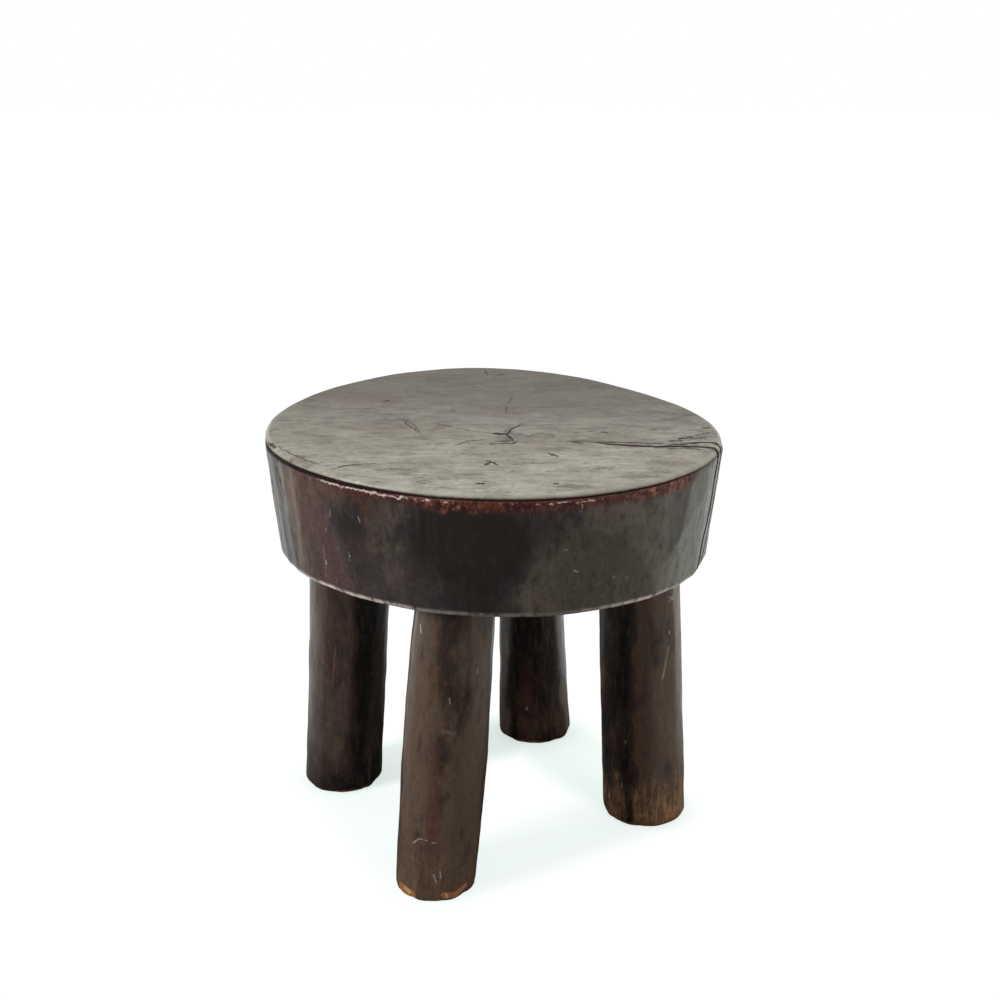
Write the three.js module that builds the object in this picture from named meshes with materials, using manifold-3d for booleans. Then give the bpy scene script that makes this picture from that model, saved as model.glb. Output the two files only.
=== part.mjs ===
// A low hand-hewn stool: a thick round seat of dark hardwood on four round legs.
//
// The seat is a slab sawn across a trunk, so its pith and its drying checks show on top. Its wall
// was hewn with an adze, is slightly out of round and draws in towards the underside. Each leg is
// one billet, shaved into long flats, that ends in a round tenon. The tenon is driven into a
// blind socket in the underside of the seat, until the leg's shoulder meets the wood.
//
// Millimetres. +X is to the right and +Y to the back as seen from the front, +Z is up. The origin
// lies on the floor, under the middle of the seat. Angles are in degrees, counted from +X to +Y.
import * as THREE from "three";
import { mergeVertices } from "three/addons/utils/BufferGeometryUtils.js";
import Module from "manifold-3d";

const wasm = await Module();
wasm.setup();

const radians = THREE.MathUtils.degToRad;
const TURN = 2 * Math.PI;
const QUARTER = Math.PI / 2;

// Driving sizes of the seat
const stoolHeight = 262;
const seatThickness = 75;
const seatRadius = 137.7;
const wallDraw = 7; // how far the wall comes in, from the ledge to the underside
const rimRoll = 3.4; // radius of the worn edge round the top
const rimStep = 0.9; // the wall stands this far proud of the rolled edge
const rimStepDrop = 2.2; // height of the bruised ledge between the two
const undersideRoll = 4; // radius of the worn edge round the underside
// How far the outline leaves a circle: so many lobes, this deep, with one at this angle
const outOfRound = [
  { lobes: 2, depth: 5.9, at: 129.6 },
  { lobes: 3, depth: 3.8, at: 92.3 },
  { lobes: 4, depth: 1.3, at: 1.7 },
];

// Adze flats round the wall of the seat
const wallFlats = 28;
const sidesPerWallFlat = 3;
const wallFlatDepth = 0.75;
const ledgeFlatShare = 0.5; // of that depth, left where the flats run out at the ledge

// Driving sizes of the joints between the legs and the seat
const tenonDiameter = 30;
const tenonChamfer = 2;
const woodOverSocket = 30; // left between the end of a socket and the top of the seat
const socketClearance = 0.3; // round the tenon, past its end and under the leg's shoulder

// Driving sizes of the legs. A leg stands at an angle round the seat, with its middle inset from
// the edge of the underside. On the way down it leans outwards by its splay and sideways by its
// swing. Its widths are at the foot, half way up and at the shoulder.
const legs = {
  front: { at: 257.8, inset: 39.5, splay: 3.8, swing: -3.6, width: [48.8, 50.7, 46.4], flats: 9, turn: 12 },
  left: { at: 160.8, inset: 35.5, splay: 3.7, swing: 0.5, width: [51.6, 51.9, 55], flats: 8, turn: 20 },
  right: { at: 355.3, inset: 40, splay: 2.8, swing: -0.1, width: [53.6, 52.4, 50], flats: 9, turn: 0 },
  rear: { at: 75.2, inset: 34, splay: 3.1, swing: -1.4, width: [52.1, 45.6, 40], flats: 8, turn: 8 },
};
const footChamfer = 1.6;
const sidesPerLegFlat = 4;
const legFlatDepth = 0.9;

// Drying checks. Each starts at a distance from the pith, along the line on which the long check
// leaves it, and runs on in its own heading until it comes out through the wall.
const pith = [10, -24];
const checkLine = -17;
const checks = {
  long: { start: 41, heading: -17, width: 1.8, topDepth: 24, wallDepth: 14 },
  branch: { start: 92, heading: 7, width: 1.2, topDepth: 14, wallDepth: 9 },
};
const checkStartDepth = 3; // below the top, at the end towards the pith
const checkStartShare = 0.15; // of the check's width, at the same end

// How finely the shapes are stepped
const outlineSteps = 720;
const rollSteps = 3;
const wallSteps = 4;
const legSteps = 12;
const wallSearchStep = 0.5;
const pastTheWood = 12; // cuts run this far out of the wood

// Heights that follow
const underside = stoolHeight - seatThickness;
const shoulder = underside - socketClearance;
const socketTop = stoolHeight - woodOverSocket;
const tenonTop = socketTop - socketClearance;
const ledge = stoolHeight - rimRoll - rimStepDrop;

// Colours of the oiled and smoked wood
const endGrain = { color: 0x5c4c40, roughness: 0.5, metalness: 0 };
const longGrain = { color: 0x3f2a20, roughness: 0.45, metalness: 0 };

// A unit vector in the direction of an angle in degrees
function heading(angle) {
  return new THREE.Vector2(Math.cos(radians(angle)), Math.sin(radians(angle)));
}

// Distance from the outline's own middle to the wall at the ledge, for an angle in radians
function wallRadius(angle) {
  return outOfRound.reduce(
    (sum, { lobes, depth, at }) => sum + depth * Math.cos(lobes * (angle - radians(at))),
    seatRadius,
  );
}

// The middle of the box round the outline
function outlineMiddle() {
  const box = new THREE.Box2();
  for (let step = 0; step < outlineSteps; step += 1) {
    const angle = (TURN * step) / outlineSteps;
    const point = new THREE.Vector2(Math.cos(angle), Math.sin(angle));
    box.expandByPoint(point.multiplyScalar(wallRadius(angle)));
  }
  return box.getCenter(new THREE.Vector2());
}

// The origin stands under this point of the outline
const seatMiddle = outlineMiddle();

// A closed skin over a stack of level rings with the same number of points, from the lowest up.
// Each end is closed by a fan about its own middle.
function loft(rings) {
  const sides = rings[0].length;
  const middle = (ring) =>
    ring.reduce((sum, point) => sum.add(point), new THREE.Vector3()).divideScalar(sides);
  const points = [...rings.flat(), middle(rings[0]), middle(rings.at(-1))];
  const bottomMiddle = points.length - 2;
  const topMiddle = points.length - 1;
  const topRing = (rings.length - 1) * sides;
  const faces = [];
  for (let side = 0; side < sides; side += 1) {
    const next = (side + 1) % sides;
    faces.push(bottomMiddle, next, side, topMiddle, topRing + side, topRing + next);
    for (let ring = 0; ring < rings.length - 1; ring += 1) {
      const low = ring * sides;
      const high = low + sides;
      faces.push(low + side, low + next, high + next, low + side, high + next, high + side);
    }
  }
  const geometry = new THREE.BufferGeometry();
  geometry.setFromPoints(points);
  geometry.setIndex(faces);
  return geometry;
}

// How deep a flat lies under the round surface, at an angle, for so many flats in a turn: nothing
// at its two edges and the full depth, 1, at its middle
function flatSink(angle, flats, turn) {
  const place = (((angle - turn) / TURN) * flats) % 1;
  const across = 2 * Math.abs(place < 0 ? place + 1 : place) - 1;
  return 1 - across * across;
}

// One level ring of the seat, drawn in from the outline by an inset
function seatRing(height, inset, flatShare) {
  const sides = wallFlats * sidesPerWallFlat;
  return Array.from({ length: sides }, (_, side) => {
    const angle = (TURN * side) / sides;
    const sink = wallFlatDepth * flatShare * flatSink(angle, wallFlats, 0);
    const radius = wallRadius(angle) - inset - sink;
    const place = new THREE.Vector2(Math.cos(angle), Math.sin(angle)).multiplyScalar(radius).sub(seatMiddle);
    return new THREE.Vector3(place.x, place.y, height);
  });
}

// The seat before its sockets and checks are cut: rolled lower edge, wall, bruised ledge, rolled rim
function seatBlank() {
  const rings = [];
  for (let step = 0; step < rollSteps; step += 1) {
    const turn = (QUARTER * step) / rollSteps;
    const height = underside + undersideRoll * (1 - Math.cos(turn));
    rings.push(seatRing(height, wallDraw + undersideRoll * (1 - Math.sin(turn)), step / rollSteps));
  }
  for (let step = 0; step < wallSteps; step += 1) {
    const share = step / wallSteps;
    const height = THREE.MathUtils.lerp(underside + undersideRoll, ledge, share);
    rings.push(seatRing(height, wallDraw * (1 - share), 1));
  }
  rings.push(seatRing(ledge, 0, ledgeFlatShare));
  for (let step = 0; step <= rollSteps; step += 1) {
    const turn = (QUARTER * step) / rollSteps;
    const height = stoolHeight - rimRoll * (1 - Math.sin(turn));
    rings.push(seatRing(height, rimStep + rimRoll * (1 - Math.cos(turn)), 0));
  }
  return loft(rings);
}

// The middle of a leg at any height: its axis is straight and leans from the underside to the floor
function legMiddle({ at, inset, splay, swing }, height) {
  const out = heading(at);
  const aside = new THREE.Vector2(-out.y, out.x);
  const drop = underside - height;
  return out
    .clone()
    .multiplyScalar(wallRadius(radians(at)) - wallDraw - inset + drop * Math.tan(radians(splay)))
    .addScaledVector(aside, drop * Math.tan(radians(swing)))
    .sub(seatMiddle);
}

// A leg's width at a height, by a smooth curve through its three widths
function legWidth({ width: [atFoot, halfWay, atShoulder] }, height) {
  const rise = height / underside;
  const foot = atFoot * (1 - rise) * (1 - 2 * rise);
  const middle = 4 * halfWay * rise * (1 - rise);
  return foot + middle + atShoulder * rise * (2 * rise - 1);
}

// One level ring about a leg's axis, with its radius at each angle given by a function
function legRing(leg, height, radiusAt) {
  const middle = legMiddle(leg, height);
  const sides = leg.flats * sidesPerLegFlat;
  return Array.from({ length: sides }, (_, side) => {
    const angle = (TURN * side) / sides;
    const radius = radiusAt(angle);
    return new THREE.Vector3(middle.x + radius * Math.cos(angle), middle.y + radius * Math.sin(angle), height);
  });
}

// One ring of a leg's shaved surface, drawn in by an inset
function shavedRing(leg, height, inset) {
  const radius = legWidth(leg, height) / 2 - inset;
  return legRing(leg, height, (angle) => radius - legFlatDepth * flatSink(angle, leg.flats, radians(leg.turn)));
}

// The rings of a round stub along a leg's axis, from one height to another
function stubRings(leg, from, to, radius) {
  return [from, to].map((height) => legRing(leg, height, () => radius));
}

// A leg: chamfered foot, shaved shaft, shoulder, round tenon with a chamfered end
function legGeometry(leg) {
  const rings = [shavedRing(leg, 0, footChamfer)];
  for (let step = 0; step <= legSteps; step += 1) {
    rings.push(shavedRing(leg, THREE.MathUtils.lerp(footChamfer, shoulder, step / legSteps), 0));
  }
  rings.push(...stubRings(leg, shoulder, tenonTop - tenonChamfer, tenonDiameter / 2));
  rings.push(legRing(leg, tenonTop, () => tenonDiameter / 2 - tenonChamfer));
  return loft(rings);
}

// The blind hole that a leg's tenon needs, from below the seat up to the socket's end
function socketGeometry(leg) {
  return loft(stubRings(leg, underside - pastTheWood, socketTop, tenonDiameter / 2 + socketClearance));
}

// How far it is from a point on the top to the wall at the ledge, in the direction of a unit vector
function distanceToWall(start, along) {
  const point = start.clone().add(seatMiddle);
  let distance = 0;
  while (point.length() < wallRadius(point.angle())) {
    point.addScaledVector(along, wallSearchStep);
    distance += wallSearchStep;
  }
  return distance;
}

// A drying check: a thin upright wedge, pointed towards the pith. It is shallow where it starts and
// deeper towards the rim, and its inner line follows the wall down to the underside.
function checkGeometry(check) {
  const start = new THREE.Vector2(...pith).addScaledVector(heading(checkLine), check.start);
  const length = distanceToWall(start, heading(check.heading));
  const reach = length + pastTheWood;
  const innerLine = length - check.wallDepth;
  const profile = new THREE.Shape();
  profile.moveTo(0, stoolHeight + pastTheWood);
  profile.lineTo(0, stoolHeight - checkStartDepth);
  profile.lineTo(innerLine, stoolHeight - check.topDepth);
  profile.lineTo(innerLine - wallDraw, underside - pastTheWood);
  profile.lineTo(reach, underside - pastTheWood);
  profile.lineTo(reach, stoolHeight + pastTheWood);
  const slab = new THREE.ExtrudeGeometry(profile, { depth: check.width, bevelEnabled: false });
  slab.translate(0, 0, -check.width / 2);
  const place = slab.getAttribute("position");
  for (let i = 0; i < place.count; i += 1) {
    place.setZ(i, place.getZ(i) * THREE.MathUtils.lerp(checkStartShare, 1, place.getX(i) / reach));
  }
  slab.rotateX(QUARTER);
  slab.rotateZ(radians(check.heading));
  slab.translate(start.x, start.y, 0);
  return slab;
}

// A geometry as a solid that can be cut
function solidOf(geometry) {
  const bare = geometry.clone();
  bare.deleteAttribute("normal");
  bare.deleteAttribute("uv");
  const merged = mergeVertices(bare);
  const mesh = new wasm.Mesh({
    numProp: 3,
    vertProperties: new Float32Array(merged.getAttribute("position").array),
    triVerts: new Uint32Array(merged.getIndex().array),
  });
  return new wasm.Manifold(mesh);
}

// A solid as a geometry again
function geometryOf(solid) {
  const mesh = solid.getMesh();
  const geometry = new THREE.BufferGeometry();
  geometry.setAttribute("position", new THREE.BufferAttribute(new Float32Array(mesh.vertProperties), 3));
  geometry.setIndex(new THREE.BufferAttribute(new Uint32Array(mesh.triVerts), 1));
  return geometry;
}

// The seat: its blank, less a socket for each leg, less the drying checks
function seatGeometry() {
  let seat = solidOf(seatBlank());
  for (const leg of Object.values(legs)) seat = seat.subtract(solidOf(socketGeometry(leg)));
  for (const check of Object.values(checks)) seat = seat.subtract(solidOf(checkGeometry(check)));
  return geometryOf(seat);
}

const stool = new THREE.Group();

function addPiece(name, geometry, finish) {
  geometry.computeVertexNormals();
  const mesh = new THREE.Mesh(geometry, new THREE.MeshStandardMaterial(finish));
  mesh.name = name;
  stool.add(mesh);
}

addPiece("seat", seatGeometry(), endGrain);
for (const [side, leg] of Object.entries(legs)) addPiece(`leg_${side}`, legGeometry(leg), longGrain);

export default stool;
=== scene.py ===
# %% [markdown]
# # A low carved stool
#
# The stool has a thick round seat of dark, smoked hardwood on four round legs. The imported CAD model
# is loaded first and stays as it is: it says where the seat and every leg stand. This file then
# models each of them again, much finer, with the marks of the adze and the drying cracks, and gives
# the wood its finish. Lengths are written in millimetres, as a maker would, and Blender gets metres.

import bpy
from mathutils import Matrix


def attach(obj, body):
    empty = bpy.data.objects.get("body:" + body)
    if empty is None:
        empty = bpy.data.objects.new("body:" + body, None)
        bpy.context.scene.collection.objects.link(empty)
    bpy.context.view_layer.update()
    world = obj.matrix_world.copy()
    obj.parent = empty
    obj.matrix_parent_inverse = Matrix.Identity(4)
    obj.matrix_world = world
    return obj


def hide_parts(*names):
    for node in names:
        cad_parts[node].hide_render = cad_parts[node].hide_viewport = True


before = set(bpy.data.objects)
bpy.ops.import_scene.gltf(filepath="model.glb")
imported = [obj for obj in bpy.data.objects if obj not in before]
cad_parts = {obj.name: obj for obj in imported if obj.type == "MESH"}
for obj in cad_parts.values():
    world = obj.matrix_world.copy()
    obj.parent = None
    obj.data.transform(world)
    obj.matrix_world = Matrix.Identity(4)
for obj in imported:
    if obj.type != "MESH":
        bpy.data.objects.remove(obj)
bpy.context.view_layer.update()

import math
import random

import bpy
import numpy as np
from mathutils import Vector, noise

MM = 0.001
print("CAD nodes:", sorted(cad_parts))

# %% [markdown]
# ## The camera
#
# The photograph was taken from a little above the seat, 19 degrees down, with a long lens. The
# camera comes first, so that everything later can be looked at from the same place.

# %% Camera
CAMERA_PLACE = (5.25, -888.88, 516.71)
CAMERA_DOWN = 19
SENSOR_WIDTH = 36
FOCAL_LENGTH = 1.5 * SENSOR_WIDTH
FARTHEST_SEEN = 50

eye = Vector(CAMERA_PLACE) * MM
bpy.ops.object.camera_add(location=eye, rotation=(math.radians(90 - CAMERA_DOWN), 0, 0))
camera = bpy.context.object
camera.name = "photo_camera"
camera.data.lens = FOCAL_LENGTH
camera.data.sensor_width = SENSOR_WIDTH
camera.data.clip_end = FARTHEST_SEEN
bpy.context.scene.camera = camera

# %% [markdown]
# ## The seat's outline
#
# A trunk is never quite round. The outline is a circle with three slow waves added to it: two lobes
# make it oval, three and four make it a little lopsided. The same sums gave the CAD seat its shape,
# so the finer seat lands exactly on it.

# %% Seat sizes and outline
STOOL_HEIGHT = 262
UNDERSIDE = 187
SEAT_RADIUS = 137.7
WALL_DRAW = 7
RIM_ROLL = 3.4
RIM_STEP = 0.9
LEDGE = 256.4
UNDERSIDE_ROLL = 4
LOW_WALL = UNDERSIDE + UNDERSIDE_ROLL
# Each wave has its number of lobes, its depth, and the angle in degrees of one of its crests.
OUT_OF_ROUND = [(2, 5.9, 129.6), (3, 3.8, 92.3), (4, 1.3, 1.7)]


def outline(angle):
    """Distance from the outline's own middle to the wall at the ledge, for angles in radians."""
    waves = [
        depth * np.cos(lobes * (angle - math.radians(at))) for lobes, depth, at in OUT_OF_ROUND
    ]
    return SEAT_RADIUS + sum(waves)


around = np.linspace(0, 2 * math.pi, 720, endpoint=False)
edge = outline(around) * np.array([np.cos(around), np.sin(around)])
SEAT_MIDDLE = (edge.min(axis=1) + edge.max(axis=1)) / 2
print("The outline's own middle is at", -SEAT_MIDDLE.round(2), "mm")

# %% [markdown]
# ## Helpers for turning and carving
#
# A lathe is the quickest start for anything round. In Blender that is a small disc whose face is
# extruded and scaled again and again along a profile, and this leaves clean level rings of points.
# What an adze does to the round blank is then a matter of moving those points, which no operator
# does: each gets its angle, radius and height worked out and is set a little deeper.


# %% Helpers: selecting, turning, reshaping
def only(piece):
    """Selects one piece and nothing else."""
    bpy.ops.object.select_all(action="DESELECT")
    piece.select_set(True)
    bpy.context.view_layer.objects.active = piece


def turned_blank(name, profile, sides):
    """Turns a closed round body. Its profile runs from the bottom's middle out, up and back in."""
    bpy.ops.object.select_all(action="DESELECT")
    (radius, height), *rest = profile
    bpy.ops.mesh.primitive_circle_add(vertices=sides, radius=radius * MM, fill_type="NGON")
    blank = bpy.context.object
    blank.name = name
    bpy.ops.object.mode_set(mode="EDIT")
    bpy.ops.mesh.select_mode(type="FACE")
    bpy.ops.mesh.select_all(action="SELECT")
    bpy.ops.transform.translate(value=(0, 0, height * MM))
    for wider, higher in rest:
        rise = (0, 0, (higher - height) * MM)
        bpy.ops.mesh.extrude_region_move(TRANSFORM_OT_translate={"value": rise})
        bpy.ops.transform.resize(value=(wider / radius, wider / radius, 1))
        radius, height = wider, higher
    bpy.ops.mesh.select_all(action="DESELECT")
    bpy.ops.object.mode_set(mode="OBJECT")
    for face in blank.data.polygons:
        face.select = len(face.vertices) == sides
    bpy.ops.object.mode_set(mode="EDIT")
    bpy.ops.mesh.poke()
    bpy.ops.mesh.select_all(action="SELECT")
    bpy.ops.mesh.normals_make_consistent(inside=False)
    bpy.ops.object.mode_set(mode="OBJECT")
    return blank


def points_of(piece):
    """A piece's points in millimetres, as three rows: x, y and z."""
    points = np.empty(len(piece.data.vertices) * 3)
    piece.data.vertices.foreach_get("co", points)
    return points.reshape(-1, 3).T / MM


def reshape(piece, rule):
    """Moves every point of a piece to where a rule on x, y and z puts it."""
    moved = np.stack(rule(*points_of(piece)), axis=1) * MM
    piece.data.vertices.foreach_set("co", moved.ravel())
    piece.data.update()


def ripples(x, y, z, size, layers=3, seed=0.0):
    """Soft natural unevenness between -1 and 1, with bumps of about this size in mm."""
    places = zip(x / size + seed, y / size, z / size)
    return np.fromiter((noise.fractal(Vector(p), 1.0, 2.0, layers) for p in places), float, len(x))


def smooth(value, low, high):
    """Rises softly from 0 at low to 1 at high."""
    share = np.clip((value - low) / (high - low), 0, 1)
    return share * share * (3 - 2 * share)


def by_angle(table, degrees):
    """Reads a table of angles and amounts, all the way round a piece."""
    return np.interp(degrees, *zip(*table), period=360)


def softest(levels, softness):
    """The lowest of several levels, with the creases between them rounded off."""
    lowest = levels.min(axis=0)
    return lowest - softness * np.log(np.exp((lowest - levels) / softness).sum(axis=0))


def paint(piece, name, values, domain="POINT"):
    """Stores one number for each point or face of a piece, for its finish to read."""
    attribute = piece.data.attributes.new(name, "FLOAT", domain)
    attribute.data.foreach_set("value", values.astype(np.float32))


# %% [markdown]
# ## Adze marks on the wall of the seat
#
# The wall was trimmed with an adze, in two rows of strokes. Each stroke leaves a broad, almost flat
# patch, and a soft ridge where it meets its neighbour. A patch that is wider than a few degrees
# can't be quite flat, or it would bite too deep, so the widest ones follow the round a little.


# %% Adze strokes
ROW_SPLIT = (214, 236)
STROKE_OVERRUN = 12
LEAST_DEPTH = 0.35
MOST_DEPTH = 1.1
STROKE_SOFTNESS = 0.07


def adze_strokes(boundaries, seed):
    """Draws two patches, one above the other, between every two boundaries, given in degrees.

    Each has its middle and half width in radians, its middle height and half height, its depth,
    and how it tilts, slants and skews.
    """
    draw = random.Random(seed)
    strokes = []
    for start, end in zip(boundaries, boundaries[1:]):
        half = math.radians(end - start) / 2
        flat_depth = LEAST_DEPTH + SEAT_RADIUS * half * half / 2
        split = draw.uniform(*ROW_SPLIT)
        rows = ((UNDERSIDE - STROKE_OVERRUN, split), (split, STOOL_HEIGHT + STROKE_OVERRUN))
        for low, high in rows:
            depth = min(MOST_DEPTH, flat_depth) * draw.uniform(0.75, 1.15)
            middle = math.radians((start + end) / 2) + draw.uniform(-0.2, 0.2) * half
            leans = [draw.uniform(-0.25, 0.25), draw.uniform(-0.3, 0.3), draw.uniform(-0.4, 0.4)]
            strokes.append((middle, half, (low + high) / 2, (high - low) / 2, depth, *leans))
    return np.array(strokes)


# Patches meet at these angles: at the front as in the photograph, behind at random.
FRONT_PATCHES = [-165, -158, -151.7, -146.5, -128.5, -106.5, -73.4, -46.5, -38.2, -30]
back_patches = [FRONT_PATCHES[-1]]
patch_widths = random.Random(5)
while back_patches[-1] < 182:
    back_patches.append(back_patches[-1] + patch_widths.uniform(8, 20))
back_patches[-1] = FRONT_PATCHES[0] + 360
WALL_STROKES = adze_strokes(FRONT_PATCHES + back_patches[1:], 3)


def stroke_levels(angle, height):
    """How far every stroke lets the wood stand, in mm over the round wall, at each point."""
    levels = []
    for middle, half, level, reach, depth, tilt, slant, skew in WALL_STROKES:
        away = ((angle - middle + math.pi) % (2 * math.pi) - math.pi) / half
        along = (height - level) / reach
        across = away - slant * along
        ends = np.abs(along + skew * np.clip(away, -1.5, 1.5)) - 0.8
        levels.append(depth * (across**2 - 1) + tilt * along + 0.9 * np.maximum(ends, 0))
    return np.array(levels)


print(len(WALL_STROKES), "adze strokes round the seat")

# %% [markdown]
# ## The seat
#
# The profile goes from the middle of the underside out to its rolled edge, up the wall, over the
# bruised ledge and the rolled rim, and back in to the middle of the top. The rings lie closest
# together at the rim, where the finest marks are.

# %% Turn the seat
SIDES = 600
inner = SEAT_RADIUS - WALL_DRAW - UNDERSIDE_ROLL
seat_profile = [(radius, UNDERSIDE) for radius in np.linspace(2, inner, 24)]
for step in range(1, 7):
    turn = math.pi / 2 * step / 6
    out = UNDERSIDE_ROLL * math.sin(turn)
    seat_profile.append((inner + out, UNDERSIDE + UNDERSIDE_ROLL * (1 - math.cos(turn))))
for height in [*np.linspace(LOW_WALL, 252, 32)[1:], 252.9, 253.7, 254.5, 255.2, 255.8, LEDGE]:
    share = (height - LOW_WALL) / (LEDGE - LOW_WALL)
    seat_profile.append((SEAT_RADIUS - WALL_DRAW * (1 - share), height))
roll_start = STOOL_HEIGHT - RIM_ROLL
for share in np.linspace(0, 1, 8)[1:]:
    seat_profile.append((SEAT_RADIUS - RIM_STEP * share, LEDGE + (roll_start - LEDGE) * share))
for step in range(1, 9):
    turn = math.pi / 2 * step / 8
    inset = RIM_STEP + RIM_ROLL * (1 - math.cos(turn))
    seat_profile.append((SEAT_RADIUS - inset, roll_start + RIM_ROLL * math.sin(turn)))
top_radius = SEAT_RADIUS - RIM_STEP - RIM_ROLL
seat_profile += [(radius, STOOL_HEIGHT) for radius in np.linspace(top_radius, 114, 13)[1:]]
seat_profile += [(radius, STOOL_HEIGHT) for radius in np.linspace(114, 2, 38)[1:]]
seat = turned_blank("carved_seat", seat_profile, SIDES)
print("The seat's blank has", len(seat_profile), "rings of", SIDES, "points")

# %% [markdown]
# Carving the blank takes one rule. It stretches the circle to the trunk's outline, sinks the adze
# strokes, opens the thin groove under the rolled rim that runs along the front, and leaves the top
# slightly hollow, as years of sitting have done. Wood is only ever taken away.

# %% Carve the seat
# The outer 14 mm keep their width all round. The skin is what a stroke must pass to leave a mark.
RIM_REACH = 14
SKIN_LEFT = 0.4
STROKE_SHARE = 0.92
WALL_WAVES = 0.22
WALL_NICKS = 0.1
GROOVE_HEIGHT = 257.9
GROOVE_DEPTH = 1.5
BURR_HEIGHT = 256.6
BURR_BITE = 0.28
TOP_HOLLOW = 0.45
TOP_WAVES = 0.32
TOP_SCUFFS = 0.07
UNDERSIDE_WAVES = 0.12
GROOVE_OPEN = [
    (-176, 0.2), (-166, 1.0), (-150, 1.0), (-128, 0.95), (-114, 0.6), (-104, 0.3), (-50, 0.26),
    (-30, 0.12), (0, 0.1),
]


def groove(angle):
    """How open the groove under the rim is at an angle: most at the front left, least behind."""
    return by_angle(GROOVE_OPEN, np.degrees(angle))


def carve_seat(x, y, z):
    angle = np.arctan2(y, x)
    radius = np.hypot(x, y)
    trunk = outline(angle)
    inner_share = np.minimum(radius / (SEAT_RADIUS - RIM_REACH), 1)
    carved = np.where(
        radius < SEAT_RADIUS - RIM_REACH,
        inner_share * (trunk - RIM_REACH),
        trunk - (SEAT_RADIUS - radius),
    )
    at_x, at_y = trunk * np.cos(angle), trunk * np.sin(angle)
    on_wall = smooth(radius, SEAT_RADIUS - 13, SEAT_RADIUS - 10) * (1 - 0.75 * smooth(z, 255.5, 259.5))
    levels = np.vstack([stroke_levels(angle, z), np.zeros_like(z)[None]])
    strokes = -softest(levels, STROKE_SOFTNESS)
    waves = WALL_WAVES * (1 + ripples(at_x, at_y, z / 2.2, 14, seed=3.1))
    nicks = WALL_NICKS * (1 + ripples(at_x, at_y, z / 5, 2.6, seed=8.4))
    carved -= on_wall * np.maximum(strokes * STROKE_SHARE + (waves + nicks) - SKIN_LEFT, 0)
    at_edge = radius > SEAT_RADIUS - 3
    opening = np.exp(-(((z - GROOVE_HEIGHT) / (0.3 + 0.5 * groove(angle))) ** 4)) * groove(angle)
    ragged = 1 + 0.5 * ripples(at_x, at_y, z, 5, seed=1.7)
    carved -= GROOVE_DEPTH * opening * np.clip(ragged, 0.3, 1.6) * at_edge
    at_burr = np.exp(-(((z - BURR_HEIGHT) / 0.9) ** 2)) * at_edge
    carved -= at_burr * groove(angle) * BURR_BITE * (1 + ripples(at_x, at_y, z, 2.2, seed=5.9))
    x, y = carved * np.cos(angle), carved * np.sin(angle)
    hollow = TOP_HOLLOW * (1 - smooth(radius, 20, 125))
    waves = TOP_WAVES * (1 + ripples(x, y, z, 42, 2, seed=2.2))
    scuffs = TOP_SCUFFS * (1 + ripples(x, y, z, 7, seed=6.6))
    lower = smooth(z, 258.5, STOOL_HEIGHT) * (hollow + waves + scuffs)
    below = z < UNDERSIDE + 0.01
    raised = below * UNDERSIDE_WAVES * (1 + ripples(x, y, z, 11, seed=4.2)) * smooth(radius, 0, 8)
    return x - SEAT_MIDDLE[0], y - SEAT_MIDDLE[1], z - lower + raised


reshape(seat, carve_seat)
low, high = points_of(seat).min(axis=1), points_of(seat).max(axis=1)
print("The carved seat measures", (high - low).round(1), "mm")

# %% [markdown]
# ## The legs
#
# Each leg is one billet, shaved with a drawknife into eight or nine long flats, with a round tenon
# on top. The flats wander a little on their way down, because the maker followed the grain. Width,
# lean and place come from the CAD model's own figures.

# %% Leg sizes
# Angles are in degrees. A leg's widths are those at its foot, half way up and at the seat.
LEGS = {
    "front": dict(at=257.8, inset=39.5, splay=3.8, swing=-3.6, width=(48.8, 50.7, 46.4), flats=9),
    "left": dict(at=160.8, inset=35.5, splay=3.7, swing=0.5, width=(51.6, 51.9, 55.0), flats=8),
    "right": dict(at=355.3, inset=40.0, splay=2.8, swing=-0.1, width=(53.6, 52.4, 50.0), flats=9),
    "rear": dict(at=75.2, inset=34.0, splay=3.1, swing=-1.4, width=(52.1, 45.6, 40.0), flats=8),
}
SHOULDER = 186.9
TENON_RADIUS = 15
TENON_TOP = 231.7
TENON_CHAMFER = 2
SOCKET_RADIUS = 15.3
SOCKET_TOP = 232
SOCKET_OVERRUN = 12
SOCKET_SIDES = 64
FOOT_ROLL = 1.7
LEG_SIDES = 144
MEAN_LEG_RADIUS = 25
FLAT_SOFTNESS = 0.14
LEG_SKIN_LEFT = 0.3
LEG_WAVES = 0.5
LEG_NICKS = 0.14
FOOT_WEAR = 0.9


def leg_middle(leg, height):
    """Where a leg's axis passes a height: it leans outwards by its splay and sideways by its swing."""
    at = math.radians(leg["at"])
    drop = UNDERSIDE - height
    out = outline(at) - WALL_DRAW - leg["inset"] + drop * math.tan(math.radians(leg["splay"]))
    aside = drop * math.tan(math.radians(leg["swing"]))
    x = out * math.cos(at) - aside * math.sin(at) - SEAT_MIDDLE[0]
    y = out * math.sin(at) + aside * math.cos(at) - SEAT_MIDDLE[1]
    return x, y


def leg_radius(leg, height):
    """Half a leg's width at a height, by a smooth curve through its three widths."""
    foot, half_way, shoulder = leg["width"]
    rise = height / UNDERSIDE
    from_foot = foot * (1 - rise) * (1 - 2 * rise)
    from_half_way = 4 * half_way * rise * (1 - rise)
    from_shoulder = shoulder * rise * (2 * rise - 1)
    return (from_foot + from_half_way + from_shoulder) / 2


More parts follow.
